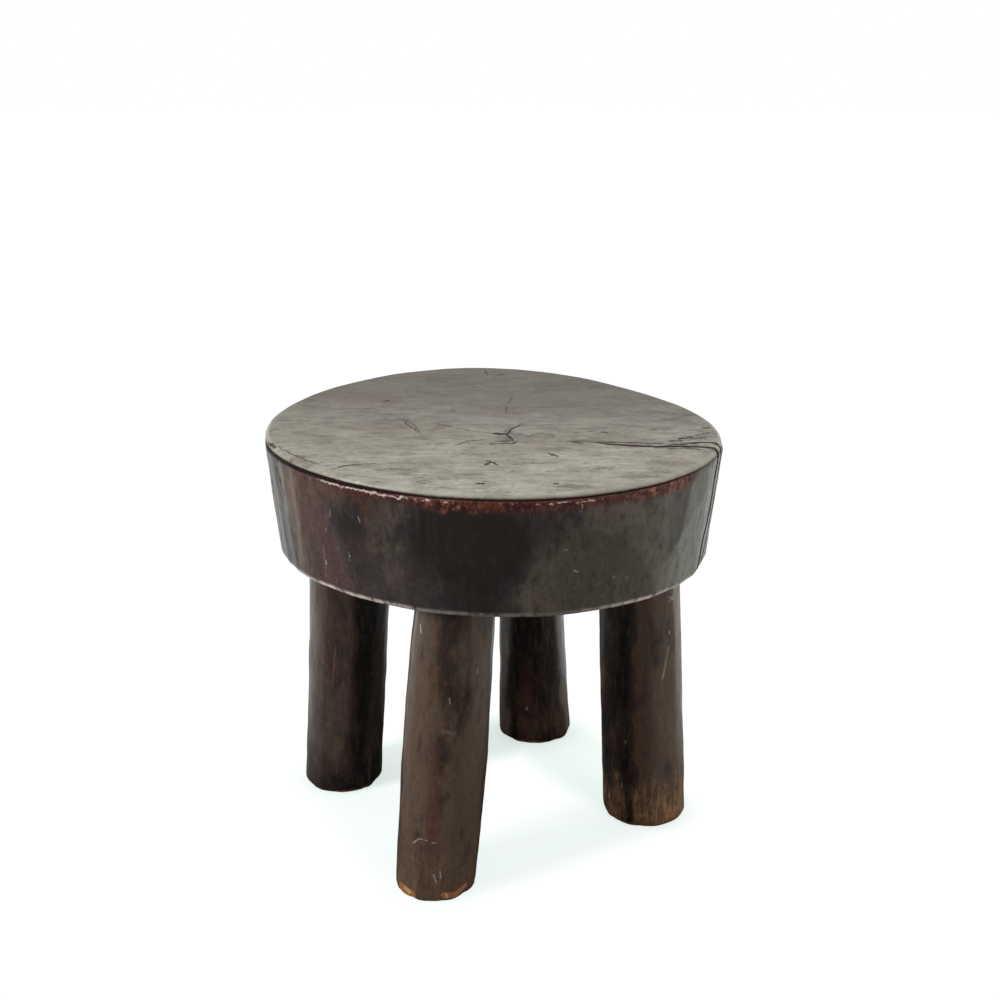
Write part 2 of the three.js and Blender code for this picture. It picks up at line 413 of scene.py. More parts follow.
# %% Turn and shave one leg
def leg_profile(leg):
    foot = leg_radius(leg, 0) - FOOT_ROLL
    profile = [(radius, 0) for radius in np.linspace(1, foot, 9)]
    for step in range(1, 6):
        turn = math.pi / 2 * step / 5
        profile.append((foot + FOOT_ROLL * math.sin(turn), FOOT_ROLL * (1 - math.cos(turn))))
    for height in np.linspace(FOOT_ROLL, SHOULDER, 90)[1:]:
        profile.append((leg_radius(leg, height), height))
    for radius in np.linspace(leg_radius(leg, SHOULDER), TENON_RADIUS, 5)[1:]:
        profile.append((radius, SHOULDER))
    for height in np.linspace(SHOULDER, TENON_TOP - TENON_CHAMFER, 9)[1:]:
        profile.append((TENON_RADIUS, height))
    profile.append((TENON_RADIUS - TENON_CHAMFER, TENON_TOP))
    profile.append((1, TENON_TOP))
    return profile


def shave_strokes(leg, seed):
    """For each long flat: middle, half width, depth, how it wanders and where."""
    draw = random.Random(seed)
    shares = [draw.uniform(0.75, 1.3) for _ in range(leg["flats"])]
    turn = draw.uniform(0, 1)
    strokes = []
    for share in shares:
        half = math.pi * share / sum(shares)
        turn += half
        drawn = [draw.uniform(0.55, 1.0), draw.uniform(-0.12, 0.12), draw.uniform(0, 6)]
        strokes.append((turn, half, *drawn))
        turn += half
    return strokes


def flat_levels(strokes, angle, z):
    """How far every flat lets the wood stand, in mm over the round leg, at each point."""
    levels = []
    for middle, half, depth, wander, phase in strokes:
        place = middle + wander * np.sin(z / 46 + phase)
        away = (angle - place + math.pi) % (2 * math.pi) - math.pi
        deeper = depth * (1 + 0.35 * np.sin(z / 27 + 2 * phase))
        levels.append(deeper * ((away / half) ** 2 - 1))
    return np.array(levels)


def shaved_leg(side, leg, seed):
    strokes = shave_strokes(leg, seed)
    piece = turned_blank(f"carved_leg_{side}", leg_profile(leg), LEG_SIDES)

    def shave(x, y, z):
        angle = np.arctan2(y, x)
        radius = np.hypot(x, y)
        on_shaft = smooth(radius, TENON_RADIUS + 0.2, TENON_RADIUS + 5)
        levels = np.vstack([flat_levels(strokes, angle, z), np.zeros_like(z)[None]])
        sink = -softest(levels, FLAT_SOFTNESS)
        round_x, round_y = MEAN_LEG_RADIUS * np.cos(angle), MEAN_LEG_RADIUS * np.sin(angle)
        uneven = LEG_WAVES * ripples(round_x, round_y, z / 2.5, 13, seed=seed) - LEG_SKIN_LEFT
        uneven += LEG_NICKS * ripples(round_x, round_y, z / 7, 2.4, seed=seed + 5)
        worn = np.clip(ripples(round_x, round_y, z, 9, seed=seed + 9) + 0.1, 0, 1)
        worn *= 1 - smooth(z, 0, 4.5)
        carved = radius - on_shaft * (sink + uneven + FOOT_WEAR * worn)
        middle_x, middle_y = leg_middle(leg, z)
        return middle_x + carved * np.cos(angle), middle_y + carved * np.sin(angle), z

    reshape(piece, shave)
    return piece, strokes


legs = {}
leg_flats = {}
for seed, (side, leg) in enumerate(LEGS.items(), 21):
    legs[side], leg_flats[side] = shaved_leg(side, leg, seed)
    print("Leg", side, "has", len(legs[side].data.polygons), "faces")

# %% [markdown]
# ## Sockets for the tenons
#
# The tenons need somewhere to go. A socket is the same shape as a tenon, 0.3 mm larger all round,
# and leans with its leg. It is cut out of the seat with a Boolean modifier, which is then applied.


# %% Cut the sockets
def cut(piece, cutter):
    """Takes one body out of another, and removes the tool."""
    only(piece)
    modifier = piece.modifiers.new("cut", "BOOLEAN")
    modifier.operation = "DIFFERENCE"
    modifier.solver = "MANIFOLD"
    modifier.object = cutter
    bpy.ops.object.modifier_apply(modifier=modifier.name)
    bpy.data.objects.remove(cutter)


def joined(pieces):
    """Several bodies that don't touch, as one object."""
    only(pieces[0])
    for piece in pieces[1:]:
        piece.select_set(True)
    bpy.ops.object.join()
    return bpy.context.object


def socket(leg):
    mouth = UNDERSIDE - SOCKET_OVERRUN
    profile = [(1, mouth), (SOCKET_RADIUS, mouth), (SOCKET_RADIUS, SOCKET_TOP), (1, SOCKET_TOP)]
    body = turned_blank("socket", profile, SOCKET_SIDES)

    def lean(x, y, z):
        middle_x, middle_y = leg_middle(leg, z)
        return middle_x + x, middle_y + y, z

    reshape(body, lean)
    return body


cut(seat, joined([socket(leg) for leg in LEGS.values()]))
print("The seat has", len(seat.data.polygons), "faces after the sockets")

# %% [markdown]
# ## Drying cracks
#
# End grain cracks as it dries, along the rays from the pith. A crack is a thin wedge, wide at the
# surface and closing downwards, that follows a wandering line. The wedge starts as a long narrow
# grid that is extruded into a slab. Its points are then moved along the line, and the slab is cut
# out of the seat as the sockets were.


# %% Crack helpers
CRACK_STEP = 1.6
CRACK_LIFT = 0.9
CRACK_OVERRUN = 7


def wedge(name, steps):
    """A long slab to bend: x runs from -1 to 1 along it, y from -1 to 1 across, z from -1 up to 0."""
    bpy.ops.object.select_all(action="DESELECT")
    bpy.ops.mesh.primitive_grid_add(x_subdivisions=steps, y_subdivisions=1, size=2 * MM)
    slab = bpy.context.object
    slab.name = name
    bpy.ops.object.mode_set(mode="EDIT")
    bpy.ops.mesh.select_all(action="SELECT")
    bpy.ops.mesh.extrude_region_move(TRANSFORM_OT_translate={"value": (0, 0, -MM)})
    bpy.ops.object.mode_set(mode="OBJECT")
    return slab


def outward(slab):
    """Turns a slab's faces outwards once its points have been moved."""
    only(slab)
    bpy.ops.object.mode_set(mode="EDIT")
    bpy.ops.mesh.select_all(action="SELECT")
    bpy.ops.mesh.normals_make_consistent(inside=False)
    bpy.ops.object.mode_set(mode="OBJECT")
    return slab


def along_line(line):
    """A line's length, and a function that gives its points at shares of that length."""
    line = np.array(line, float)
    lengths = np.r_[0, np.cumsum(np.hypot(*np.diff(line, axis=0).T))]
    return lengths[-1], lambda share: [np.interp(share * lengths[-1], lengths, row) for row in line.T]


def stray(distance, size, seed, layers=3):
    """Ripples along a line, for how a crack strays and how its width changes."""
    return ripples(distance, 0 * distance, 0 * distance, size, layers, seed=seed)


def top_crack(name, line, width, depth, seed, open_end=False, ease=7):
    """A crack in the top of the seat, along a line of x and y. An open end runs out over the rim."""
    if open_end:
        (x0, y0), (x1, y1) = line[-2:]
        far = CRACK_OVERRUN / math.hypot(x1 - x0, y1 - y0)
        line = [*line, (x1 + far * (x1 - x0), y1 + far * (y1 - y0))]
    length, at = along_line(line)
    slab = wedge(name, max(4, int(length / CRACK_STEP)))

    def bend(x, y, z):
        share = (x + 1) / 2
        here_x, here_y = at(share)
        next_x, next_y = at(np.clip(share + 0.02, 0, 1))
        prev_x, prev_y = at(np.clip(share - 0.02, 0, 1))
        ahead = np.array([next_x - prev_x, next_y - prev_y])
        ahead /= np.hypot(*ahead)
        jitter = 1.2 * stray(share * length, 6, seed)
        fade_in = 0.12 + 0.88 * smooth(share * length, 0, ease)
        fade_out = 1 if open_end else 0.12 + 0.88 * smooth((1 - share) * length, 0, ease / 2)
        rough = 1 + 0.45 * stray(share * length, 5, seed + 3)
        full = np.clip(rough, 0.5, 1.5) * fade_in * fade_out
        half = 0.04 + (z > -0.5) * (width / 2) * full * (depth + CRACK_LIFT) / depth
        aside = jitter + y * half
        deep = (0.5 + depth * fade_in * fade_out) * (z < -0.5)
        return (
            here_x - aside * ahead[1],
            here_y + aside * ahead[0],
            np.where(z < -0.5, STOOL_HEIGHT - 0.5 - deep, STOOL_HEIGHT + CRACK_LIFT),
        )

    reshape(slab, bend)
    return outward(slab)


def wall_at(angle, height):
    """The wall's distance from the outline's own middle at an angle and a height."""
    share = np.clip((height - LOW_WALL) / (LEDGE - LOW_WALL), 0, 1)
    return outline(angle) - WALL_DRAW * (1 - share)


def wall_crack(name, line, width, depth, seed):
    """A crack down the wall, along a line of angle in degrees and height."""
    heights = np.array([height for _, height in line])
    angles = np.radians([angle for angle, _ in line])
    slab = wedge(name, int((heights[0] - heights[-1]) / CRACK_STEP))

    def bend(x, y, z):
        height = heights[0] + (x + 1) / 2 * (heights[-1] - heights[0])
        angle = np.interp(-height, -heights, angles)
        jitter = 0.5 * stray(height, 11, seed, 2)
        rough = 1 + 0.4 * stray(height, 9, seed + 3, 2)
        gape = width / 2 * (0.75 + 0.25 * smooth(height, 195, 245))
        half = np.where(z > -0.5, gape * np.clip(rough, 0.55, 1.5), 0.05)
        radius = wall_at(angle, height) + np.where(z > -0.5, 1.5, -depth)
        turned = angle + (jitter + y * half) / radius
        return (
            radius * np.cos(turned) - SEAT_MIDDLE[0],
            radius * np.sin(turned) - SEAT_MIDDLE[1],
            height,
        )

    reshape(slab, bend)
    return outward(slab)


# %% Cut the cracks
# Cracks in the top follow places in x and y, those in the wall follow angles and heights.
MAIN_CRACK = [
    (49.0, -38.6), (58.2, -42.7), (69.7, -47.7), (86.9, -51.8), (98.4, -52.8), (110.1, -52.4),
    (121.6, -53.6), (129.6, -56.4), (132.5, -58.5),
]
UPPER_BRANCH = [(98.6, -50.8), (116.6, -47.1), (125.7, -44.7), (131.5, -44.7), (133.9, -48.7)]
PITH_CRACK = [
    (19.4, -1.1), (14.4, -11.0), (10.7, -19.6), (9.4, -26.0), (11.8, -34.4), (12.9, -38.6),
    (3.5, -41.6),
]
LEFT_EDGE_CRACK = [(-126.3, -48.7), (-115.5, -64.6), (-105.2, -78.0), (-95.6, -87.4)]
LEFT_SIDE_CRACK = [(-87.6, -94.7), (-81.4, -89.2), (-70.6, -85.5)]
UPPER_LEFT_CRACK = [(-55.4, 4.5), (-49.7, -8.8), (-44.8, -19.6)]
MAIN_WALL = [
    (-22.0, 266), (-22.0, 262), (-22.5, 249.3), (-22.3, 233.1), (-23.7, 216.7), (-24.9, 206.8),
    (-26.2, 194), (-27.0, 182),
]
BRANCH_WALL = [
    (-18.4, 266), (-18.0, 250.1), (-17.4, 238.3), (-17.8, 224.4), (-18.6, 214.3), (-20.0, 203),
    (-22.0, 193.1), (-23.4, 186.5),
]

first_cuts = [
    top_crack("main_crack", MAIN_CRACK, 2.8, 12, 1.0, open_end=True, ease=30),
    top_crack("pith_crack", PITH_CRACK, 1.1, 3.0, 2.0),
    top_crack("left_edge_crack", LEFT_EDGE_CRACK, 0.8, 2.0, 3.0),
    top_crack("left_side_crack", LEFT_SIDE_CRACK, 1.2, 2.0, 4.0),
    top_crack("upper_left_crack", UPPER_LEFT_CRACK, 0.8, 2.0, 5.0),
    top_crack("pith_hole", [(4.0, -21.8), (7.0, -23.9)], 3.0, 3.0, 6.0),
]
cut(seat, joined(first_cuts))
second_cuts = [
    top_crack("branch_crack", UPPER_BRANCH, 1.8, 8, 7.0, open_end=True),
    wall_crack("main_wall_crack", MAIN_WALL, 4.4, 10, 8.0),
]
cut(seat, joined(second_cuts))
cut(seat, wall_crack("branch_wall_crack", BRANCH_WALL, 4.2, 7, 9.0))
print("The seat has", len(seat.data.polygons), "faces after the cracks")

# %% [markdown]
# ## What the finish needs to know
#
# Some things are easier to work out from the shape than inside a material: which adze stroke a
# point belongs to, how dark smoke, hands and painted shade have made each side, where the rim is
# bruised, where painted highlights and shade go, and what lies inside a crack. They are painted on
# the points here, and the finish reads them. Tables go round a piece by angle in degrees: -90 is
# the front, 0 the right and 180 the left.

# %% Tables of smoke, wear, and painted light and shade on the seat
# How dark the wall is, by angle and in spots: partly smoke and partly painted shade, which darkens the
# far left.
# A spot has its angle and height, its two half widths and its amount.
SEAT_SMOKE_AND_SHADE = [
    (-180, 0.7), (-168, 0.7), (-160, 0.7), (-153, 0.5), (-148, 0.24), (-132, 0.3), (-125, 0.45),
    (-112, 0.52), (-105, 0.82), (-94, 0.97), (-86, 0.76), (-76, 0.42), (-66, 0.2), (-50, 0.16),
    (-40, 0.16), (-28, 0.15), (0, 0.5), (40, 0.4), (90, 0.7), (140, 0.4),
]
SEAT_SMOKE_AND_SHADE_SPOTS = [
    (-127, 232, 4, 10, 0.4), (-98, 243, 11, 16, 0.15), (-79, 200, 8, 16, -0.25),
    (-104, 197, 6, 10, -0.25), (-84, 236, 6, 12, 0.25), (-61, 222, 5, 16, 0.1), (-66, 242, 7, 7, 0.12),
    (-136, 246, 6, 7, -0.15),
]
SEAT_RED = [
    (-180, 0.25), (-160, 0.15), (-150, 0.45), (-144, 0.8), (-128, 0.9), (-118, 0.5), (-108, 0.3),
    (-92, 0.35), (-78, 0.35), (-62, 0.3), (-48, 0.1), (-20, 0.1), (40, 0.5), (100, 0.3), (150, 0.6),
]
SEAT_TAN_SPOTS = [(-163, 250, 10, 9, 0.8), (-152, 240, 6, 10, 0.5), (-140, 252, 9, 5, 0.3)]
# How much painted light the rolled rim gets: a painted highlight at the front and painted shade behind.
RIM_SHEEN = [
    (-180, 0.5), (-165, 0.2), (-140, 0.05), (-100, 0.3), (-50, 0.4), (-20, 0.4), (10, 0.3), (40, 0.7),
    (140, 0.7),
]
# Bare wood round the rim, and painted light and shade there: the raw and orange tables are bare wood,
# the burr's table a painted highlight on the worn ledge, the groove's a painted shade in the groove,
# and the lower edge's a painted highlight.
SEAT_WEAR_AND_LIGHT = {
    "raw": [
        (-160, 0.1), (-148, 0.15), (-135, 0.25), (-108, 0.35), (-100, 0.8), (-94, 0.75), (-86, 0.6),
        (-66, 0.5), (-54, 0.7), (-44, 0.75), (-38, 0.4), (-32, 0),
    ],
    "orange": [
        (-107, 0), (-101, 0.9), (-95, 0.8), (-90, 0.3), (-72, 0.1), (-62, 0.35), (-54, 0.9), (-43, 0.9),
        (-36, 0.2),
    ],
    "burr_highlight": [
        (-160, 0), (-146, 0), (-137, 0.2), (-132, 0.8), (-112, 1.0), (-106, 0.5), (-96, 0.1),
        (-88, 0.3), (-82, 0.15), (-76, 0.45), (-62, 0.2), (-52, 0.1), (-42, 0),
    ],
    "groove_shade": [(-180, 0.3), (-160, 0.45), (-146, 1.0), (0, 1.0), (120, 0.5)],
    "edge_highlight": [
        (-165, 0.5), (-150, 0.7), (-138, 1.0), (-118, 0.9), (-106, 0.35), (-74, 0.2), (-62, 0.5),
        (-54, 1.0), (-42, 1.0), (-30, 0.4), (90, 0.4),
    ],
}
# The edges of two facets that are painted pale and greenish as a painted sheen, as heights and angles
# from the bottom up.
RIGHT_FACET = [(185, -43.5), (208, -43.3), (218, -41), (228, -36.5), (246, -29.5), (257, -26)]
LEFT_FACET = [(185, -150), (206, -151.5), (222, -153), (236, -160), (257, -168)]


# %% Painted guides
def spots(table, degrees, z):
    """Adds up soft spots: each has its angle and height, two half widths and an amount."""
    total = np.zeros_like(z)
    for at, height, wide, tall, amount in table:
        away = ((degrees - at + 180) % 360 - 180) / wide
        total += amount * np.exp(-(away**2) - ((z - height) / tall) ** 2)
    return total


def stroke_tone(levels, seed):
    """A tone from 0 to 1 for the stroke that a point belongs to."""
    tones = np.random.default_rng(seed).uniform(0, 1, len(levels))
    weights = np.exp(-(levels - levels.min(axis=0)) / 0.06)
    return (weights * tones[:, None]).sum(axis=0) / weights.sum(axis=0)


def round_seat(x, y):
    """Angles and distances from the outline's own middle."""
    from_x, from_y = x + SEAT_MIDDLE[0], y + SEAT_MIDDLE[1]
    return np.arctan2(from_y, from_x), np.hypot(from_x, from_y)


def seat_guides():
    x, y, z = points_of(seat)
    angle, radius = round_seat(x, y)
    degrees = np.degrees(angle)
    tone = stroke_tone(stroke_levels(angle, z), 17)
    uneven = 0.16 * ripples(x, y, z / 1.4, 24, seed=9.3) + 0.3 * (tone - 0.5)
    wandering = degrees + 6 * ripples(x, y, z, 24, seed=7.7)
    smoke_and_shade = by_angle(SEAT_SMOKE_AND_SHADE, wandering) + spots(SEAT_SMOKE_AND_SHADE_SPOTS, wandering, z) + uneven
    paint(seat, "smoke_and_shade", smoke_and_shade)
    paint(seat, "tone", tone)
    # Two facets at the sides are marked for a painted sheen.
    right_edge, left_edge = [np.interp(z, *zip(*line)) for line in (RIGHT_FACET, LEFT_FACET)]
    wobble = 1.2 * ripples(x, y, z, 12, seed=6.1)
    right_facet = smooth(degrees + wobble, right_edge, right_edge + 1.2)
    right_facet *= 1 - smooth(degrees, -14, -8)
    left_facet = smooth(wobble - degrees, -left_edge, 1.5 - left_edge)
    left_facet *= (1 - smooth(-degrees, 168, 176)) * (degrees < 0)
    paint(seat, "pale", np.maximum(right_facet, 0.15 * left_facet))
    paint(seat, "redness", by_angle(SEAT_RED, wandering) + 0.2 * ripples(x, y, z / 1.6, 24, seed=4.9))
    paint(seat, "tan", spots(SEAT_TAN_SPOTS, degrees, z))
    paint(seat, "grooved", groove(angle))
    for name, table in SEAT_WEAR_AND_LIGHT.items():
        paint(seat, name, by_angle(table, degrees))
    # The rolled rim, for its painted highlight at the front and painted shade behind.
    on_rim = smooth(radius - outline(angle), -4.4, -2.4) * smooth(z, 258.6, 259.6)
    paint(seat, "rim", on_rim * by_angle(RIM_SHEEN, degrees))


def mark_cracks():
    """Finds the faces inside the cracks: they stand steeply to the top or to the wall round them."""
    centres = np.empty(len(seat.data.polygons) * 3)
    normals = np.empty_like(centres)
    seat.data.polygons.foreach_get("center", centres)
    seat.data.polygons.foreach_get("normal", normals)
    x, y, z = centres.reshape(-1, 3).T / MM
    facing_x, facing_y, facing_up = normals.reshape(-1, 3).T
    angle, radius = round_seat(x, y)
    trunk = outline(angle)
    facing_out = facing_x * np.cos(angle) + facing_y * np.sin(angle)
    in_top = (z > 244) & (radius < trunk - 6) & (np.abs(facing_up) < 0.7)
    in_wall = (z > 188) & (radius > trunk - 16) & (np.hypot(facing_out, facing_up) < 0.8)
    paint(seat, "in_crack", (in_top | in_wall).astype(float), "FACE")


# %% [markdown]
# Each leg is painted darkest on the sides that face in under the seat, partly smoke and partly
# painted shade, and it is polished on the side that faces away from the middle.

# %% Tables of smoke, painted shade and wear on the legs
# How dark each leg is, by angle and in spots: smoke, with painted shade on the sides that face in under
# the seat, and a painted sheen where the rear leg's left edge is kept light.
LEG_SMOKE_AND_SHADE = {
    "front": [
        (-180, 0.3), (-165, 0.35), (-140, 0.2), (-112, 0.3), (-100, 0.42), (-88, 0.42), (-78, 0.25),
        (-30, 0.2), (0, 0.4), (90, 0.8),
    ],
    "left": [
        (-180, 0.35), (-150, 0.36), (-118, 0.32), (-84, 0.35), (-76, 0.75), (-68, 1.1), (-56, 1.05),
        (-48, 0.9), (0, 0.95), (60, 0.8), (130, 0.4),
    ],
    "right": [
        (-180, 0.7), (-160, 0.6), (-128, 0.55), (-113, 0.95), (-105, 0.6), (-96, 0.32), (-60, 0.25),
        (-20, 0.3), (30, 0.4), (120, 0.8),
    ],
    "rear": [
        (-180, 0.5), (-166, 0.15), (-154, 0.0), (-138, 0.5), (-126, 1.0), (-60, 1.05), (-46, 0.8),
        (-34, 0.5), (-20, 0.3), (0, 0.5), (150, 0.65),
    ],
}
LEG_SMOKE_AND_SHADE_SPOTS = {
    "front": [
        (-95, 160, 9, 14, 0.25), (-118, 150, 6, 9, 0.25), (-88, 134, 9, 10, 0.2),
        (-96, 98, 12, 12, 0.2), (-75, 150, 36, 44, 0.14), (-130, 70, 12, 20, -0.15),
        (-60, 60, 20, 40, -0.15), (-95, 12, 16, 9, 0.15), (-135, 160, 6, 16, 0.25),
        (-118, 22, 12, 9, 0.2),
    ],
    "left": [
        (-105, 8, 60, 14, 0.5), (-98, 30, 7, 8, -0.25), (-100, 95, 5, 20, 0.15),
        (-30, 60, 20, 30, -0.2), (-112, 60, 20, 12, -0.1),
    ],
    "right": [
        (-95, 170, 10, 12, 0.45), (-70, 60, 30, 30, -0.1), (-140, 90, 12, 20, 0.1),
        (-75, 10, 50, 12, -0.25), (-75, 130, 8, 20, 0.2), (-130, 30, 14, 16, -0.2),
    ],
    "rear": [(-100, 20, 30, 24, -0.3), (-30, 50, 20, 40, -0.2)],
}
LEG_RED_SPOTS = {
    "front": [(-102, 62, 9, 42, 1.0), (-92, 40, 7, 26, 0.5), (-150, 110, 16, 30, 0.25)],
    "left": [(-110, 130, 26, 50, 0.4), (-80, 60, 14, 40, 0.35)],
    "right": [
        (-84, 176, 26, 16, 1.3), (-95, 100, 16, 30, 0.35), (-110, 60, 16, 30, 0.3),
        (-60, 165, 20, 16, 0.4),
    ],
    "rear": [(-105, 30, 16, 34, 1.0), (-60, 15, 30, 14, 0.4)],
}


# %% Paint the guides
def leg_guides(side, seed):
    x, y, z = points_of(legs[side])
    middle_x, middle_y = leg_middle(LEGS[side], z)
    angle = np.arctan2(y - middle_y, x - middle_x)
    degrees = np.degrees(angle)
    round_x, round_y = MEAN_LEG_RADIUS * np.cos(angle), MEAN_LEG_RADIUS * np.sin(angle)
    tone = stroke_tone(flat_levels(leg_flats[side], angle, z), 31)
    uneven = 0.3 * ripples(round_x, round_y, z / 2.6, 11, seed=seed) + 0.15 * (tone - 0.5)
    uneven += 0.12 * ripples(round_x, round_y, z / 3, 3, seed=seed + 2)
    smoke_and_shade = by_angle(LEG_SMOKE_AND_SHADE[side], degrees) + spots(LEG_SMOKE_AND_SHADE_SPOTS[side], degrees, z) + uneven
    away = np.cos(angle - math.radians(LEGS[side]["at"]))
    paint(legs[side], "smoke_and_shade", smoke_and_shade)
    paint(legs[side], "redness", spots(LEG_RED_SPOTS[side], degrees, z))
    paint(legs[side], "polish", smooth(away, -0.4, 0.5))


seat_guides()
mark_cracks()
for side, seed in {"front": 5, "left": 4, "right": 5, "rear": 4}.items():
    leg_guides(side, seed)

SHARP_EDGE = 38
for piece in [seat, *legs.values()]:
    only(piece)
    bpy.ops.object.shade_smooth_by_angle(angle=math.radians(SHARP_EDGE))

# %% [markdown]
# ## Writing a finish
#
# A material is a net of nodes. Long chains of Math nodes are hard to read, so a small class stands
# for one socket and lets sums be written as sums. Everything else comes from one method that
# places a node, sets its options and links or fills its inputs.


# %% Shader helpers
BUMP_DEPTH = 0.35 * MM
MARK_CONTRAST = 2.8
MARK_GAPS = 0.3


class Value:
    """One socket of a material. A sum written with it adds the Math nodes that work it out."""

    def __init__(self, finish, socket):
        self.finish = finish
        self.socket = socket

    def math(self, operation, *inputs):
        return self.finish.node("ShaderNodeMath", {"operation": operation}, inputs)

    def __add__(self, other):
        return self.math("ADD", self, other)

    def __sub__(self, other):
        return self.math("SUBTRACT", self, other)

    def __rsub__(self, other):
        return self.math("SUBTRACT", other, self)

    def __mul__(self, other):
        return self.math("MULTIPLY", self, other)

    __radd__ = __add__
    __rmul__ = __mul__

    def at_least(self, other):
        return self.math("MAXIMUM", self, other)

    def from_zero(self):
        return self.math("ABSOLUTE", self)


class Finish:
    """A material's node tree, and the few kinds of node that the wood needs."""

    def __init__(self, tree):
        self.tree = tree
        tree.nodes.clear()

    def node(self, kind, options=None, inputs=(), output=0):
        """Adds a node, sets its options, fills or links its inputs, and gives back one output."""
        node = self.tree.nodes.new(kind)
        for name, option in (options or {}).items():
            setattr(node, name, option)
        pairs = inputs.items() if isinstance(inputs, dict) else enumerate(inputs)
        for key, value in pairs:
            if isinstance(value, Value):
                self.tree.links.new(value.socket, node.inputs[key])
            else:
                node.inputs[key].default_value = value
        return Value(self, node.outputs[output]) if node.outputs else node

    def place(self):
        """Where a point is on the piece, in millimetres."""
        metres = self.node("ShaderNodeTexCoord", output="Object")
        return self.vector("SCALE", {0: metres, "Scale": 1 / MM})

    def axes(self, place, names="XYZ"):
        """The named coordinates of a place, one by one."""
        return [self.node("ShaderNodeSeparateXYZ", None, [place], name) for name in names]

    def vector(self, operation, inputs, output=0):
        return self.node("ShaderNodeVectorMath", {"operation": operation}, inputs, output)

    def ray(self, kind):
        """1 for rays of one kind, such as Camera or Glossy, and 0 for all others."""
        return self.node("ShaderNodeLightPath", output=f"Is {kind} Ray")

    def noise(
        self, place, size, detail, roughness=0.55, stretch=(1, 1, 1), shift=(0, 0, 0), output="Fac"
    ):
        """Soft mottling from 0 to 1, with spots of about this size in mm, drawn out by a stretch."""
        scale = [1 / (size * by) for by in stretch]
        moved = self.vector("MULTIPLY_ADD", [place, scale, shift])
        inputs = {"Vector": moved, "Scale": 1.0, "Detail": detail, "Roughness": roughness}
        return self.node("ShaderNodeTexNoise", None, inputs, output)

    def rise(self, value, low, high):
        """0 below low, 1 above high and a soft rise between. It falls where low is above high."""
        return self.node(
            "ShaderNodeMapRange",
            {"interpolation_type": "SMOOTHSTEP"},
            {"Value": value, "From Min": low, "From Max": high},
        )

    def mix(self, share, first, second, blend="MIX"):
        options = {"data_type": "RGBA", "blend_type": blend}
        return self.node("ShaderNodeMix", options, {0: share, 6: first, 7: second}, output=2)

    def layers(self, base, *layers):
        """Lays colours over a base one after another, each with its share."""
        for share, shade in layers:
            base = self.mix(share, base, colour(*shade))
        return base

    def guide(self, name):
        """A number that was painted on the piece's points."""
        return self.node("ShaderNodeAttribute", {"attribute_name": name}, output="Fac")

    def shaken(self, place, size, amount):
        """The same places, each pushed about by up to half this amount in mm, for ragged marks."""
        push = self.vector("SUBTRACT", [self.noise(place, size, 2, output="Color"), (0.5, 0.5, 0.5)])
        return self.vector("MULTIPLY_ADD", [push, (amount,) * 3, place])

    def stroke(self, place, start, end, width):
        """1 on a short straight mark between two points in mm, falling to 0 at its edges."""
        start, end = Vector(start), Vector(end)
        along = end - start
        offset = self.vector("SUBTRACT", [place, start])
        share = self.vector("DOT_PRODUCT", [offset, along / along.length_squared], "Value")
        held = self.node("ShaderNodeClamp", None, {"Value": share})
        nearest = self.vector("SCALE", {0: list(along), "Scale": held})
        away = self.vector("DISTANCE", [offset, nearest], "Value")
        return self.rise(away, width / 2, width / 6)

    def marked(self, base, place, breaks, marks, edge=(0.3, 0.85)):
        """Draws marks over a colour, broken up by a noise, and gives back that and their mask."""
        covered = 0
        for points, width, strength, shade in marks:
            for start, end in zip(points, points[1:]):
                stroke = self.stroke(place, start, end, width) * (breaks * MARK_CONTRAST - MARK_GAPS)
                share = self.rise(stroke, *edge) * strength
                base = self.mix(share, base, colour(*shade))
                covered = share.at_least(covered)
        return base, covered

    def finish_surface(self, colours, roughness, relief, depth, **sockets):
        """Ends a material in a glossy shader with a bump, and whatever else its sockets are given."""
        bump = {"Strength": depth, "Distance": BUMP_DEPTH, "Height": relief}
        sockets["Normal"] = self.node("ShaderNodeBump", None, bump, "Normal")
        sockets.update({"Base Color": colours, "Roughness": roughness})
        shader = self.node("ShaderNodeBsdfPrincipled", None, sockets)
        self.node("ShaderNodeOutputMaterial", None, {"Surface": shader})


def on_surface(piece, marks):
    """The same marks with their points, given in mm, moved onto the surface of the piece."""
    placed = []
    for points, *look in marks:
        found = [piece.closest_point_on_mesh(Vector(point) * MM)[1] / MM for point in points]
        placed.append((found, *look))
    return placed


def colour(red, green, blue):
    """A colour as a picture shows it, 0 to 255, as the light values that Blender works in."""
    linear = [((c / 255 + 0.055) / 1.055) ** 2.4 if c > 10 else c / 3294 for c in (red, green, blue)]
    return (*linear, 1)


def grey(level):
    return (level, level, level, 1)


def new_material(name):
    material = bpy.data.materials.new(name)
    material.use_nodes = True
    return material, Finish(material.node_tree)


# %% [markdown]
# ## Stains and marks on the seat
#
# Years of use have left stains, bruises and scratches. An image could hold them, but a few strokes
# drawn by the material stay sharp from near by and need no file. On the top a stroke is given by x
# and y, and on the wall by x, y and z, or by angles and heights. Each then has its width, its
# strength and its colour. The dark marks on top all have one colour.

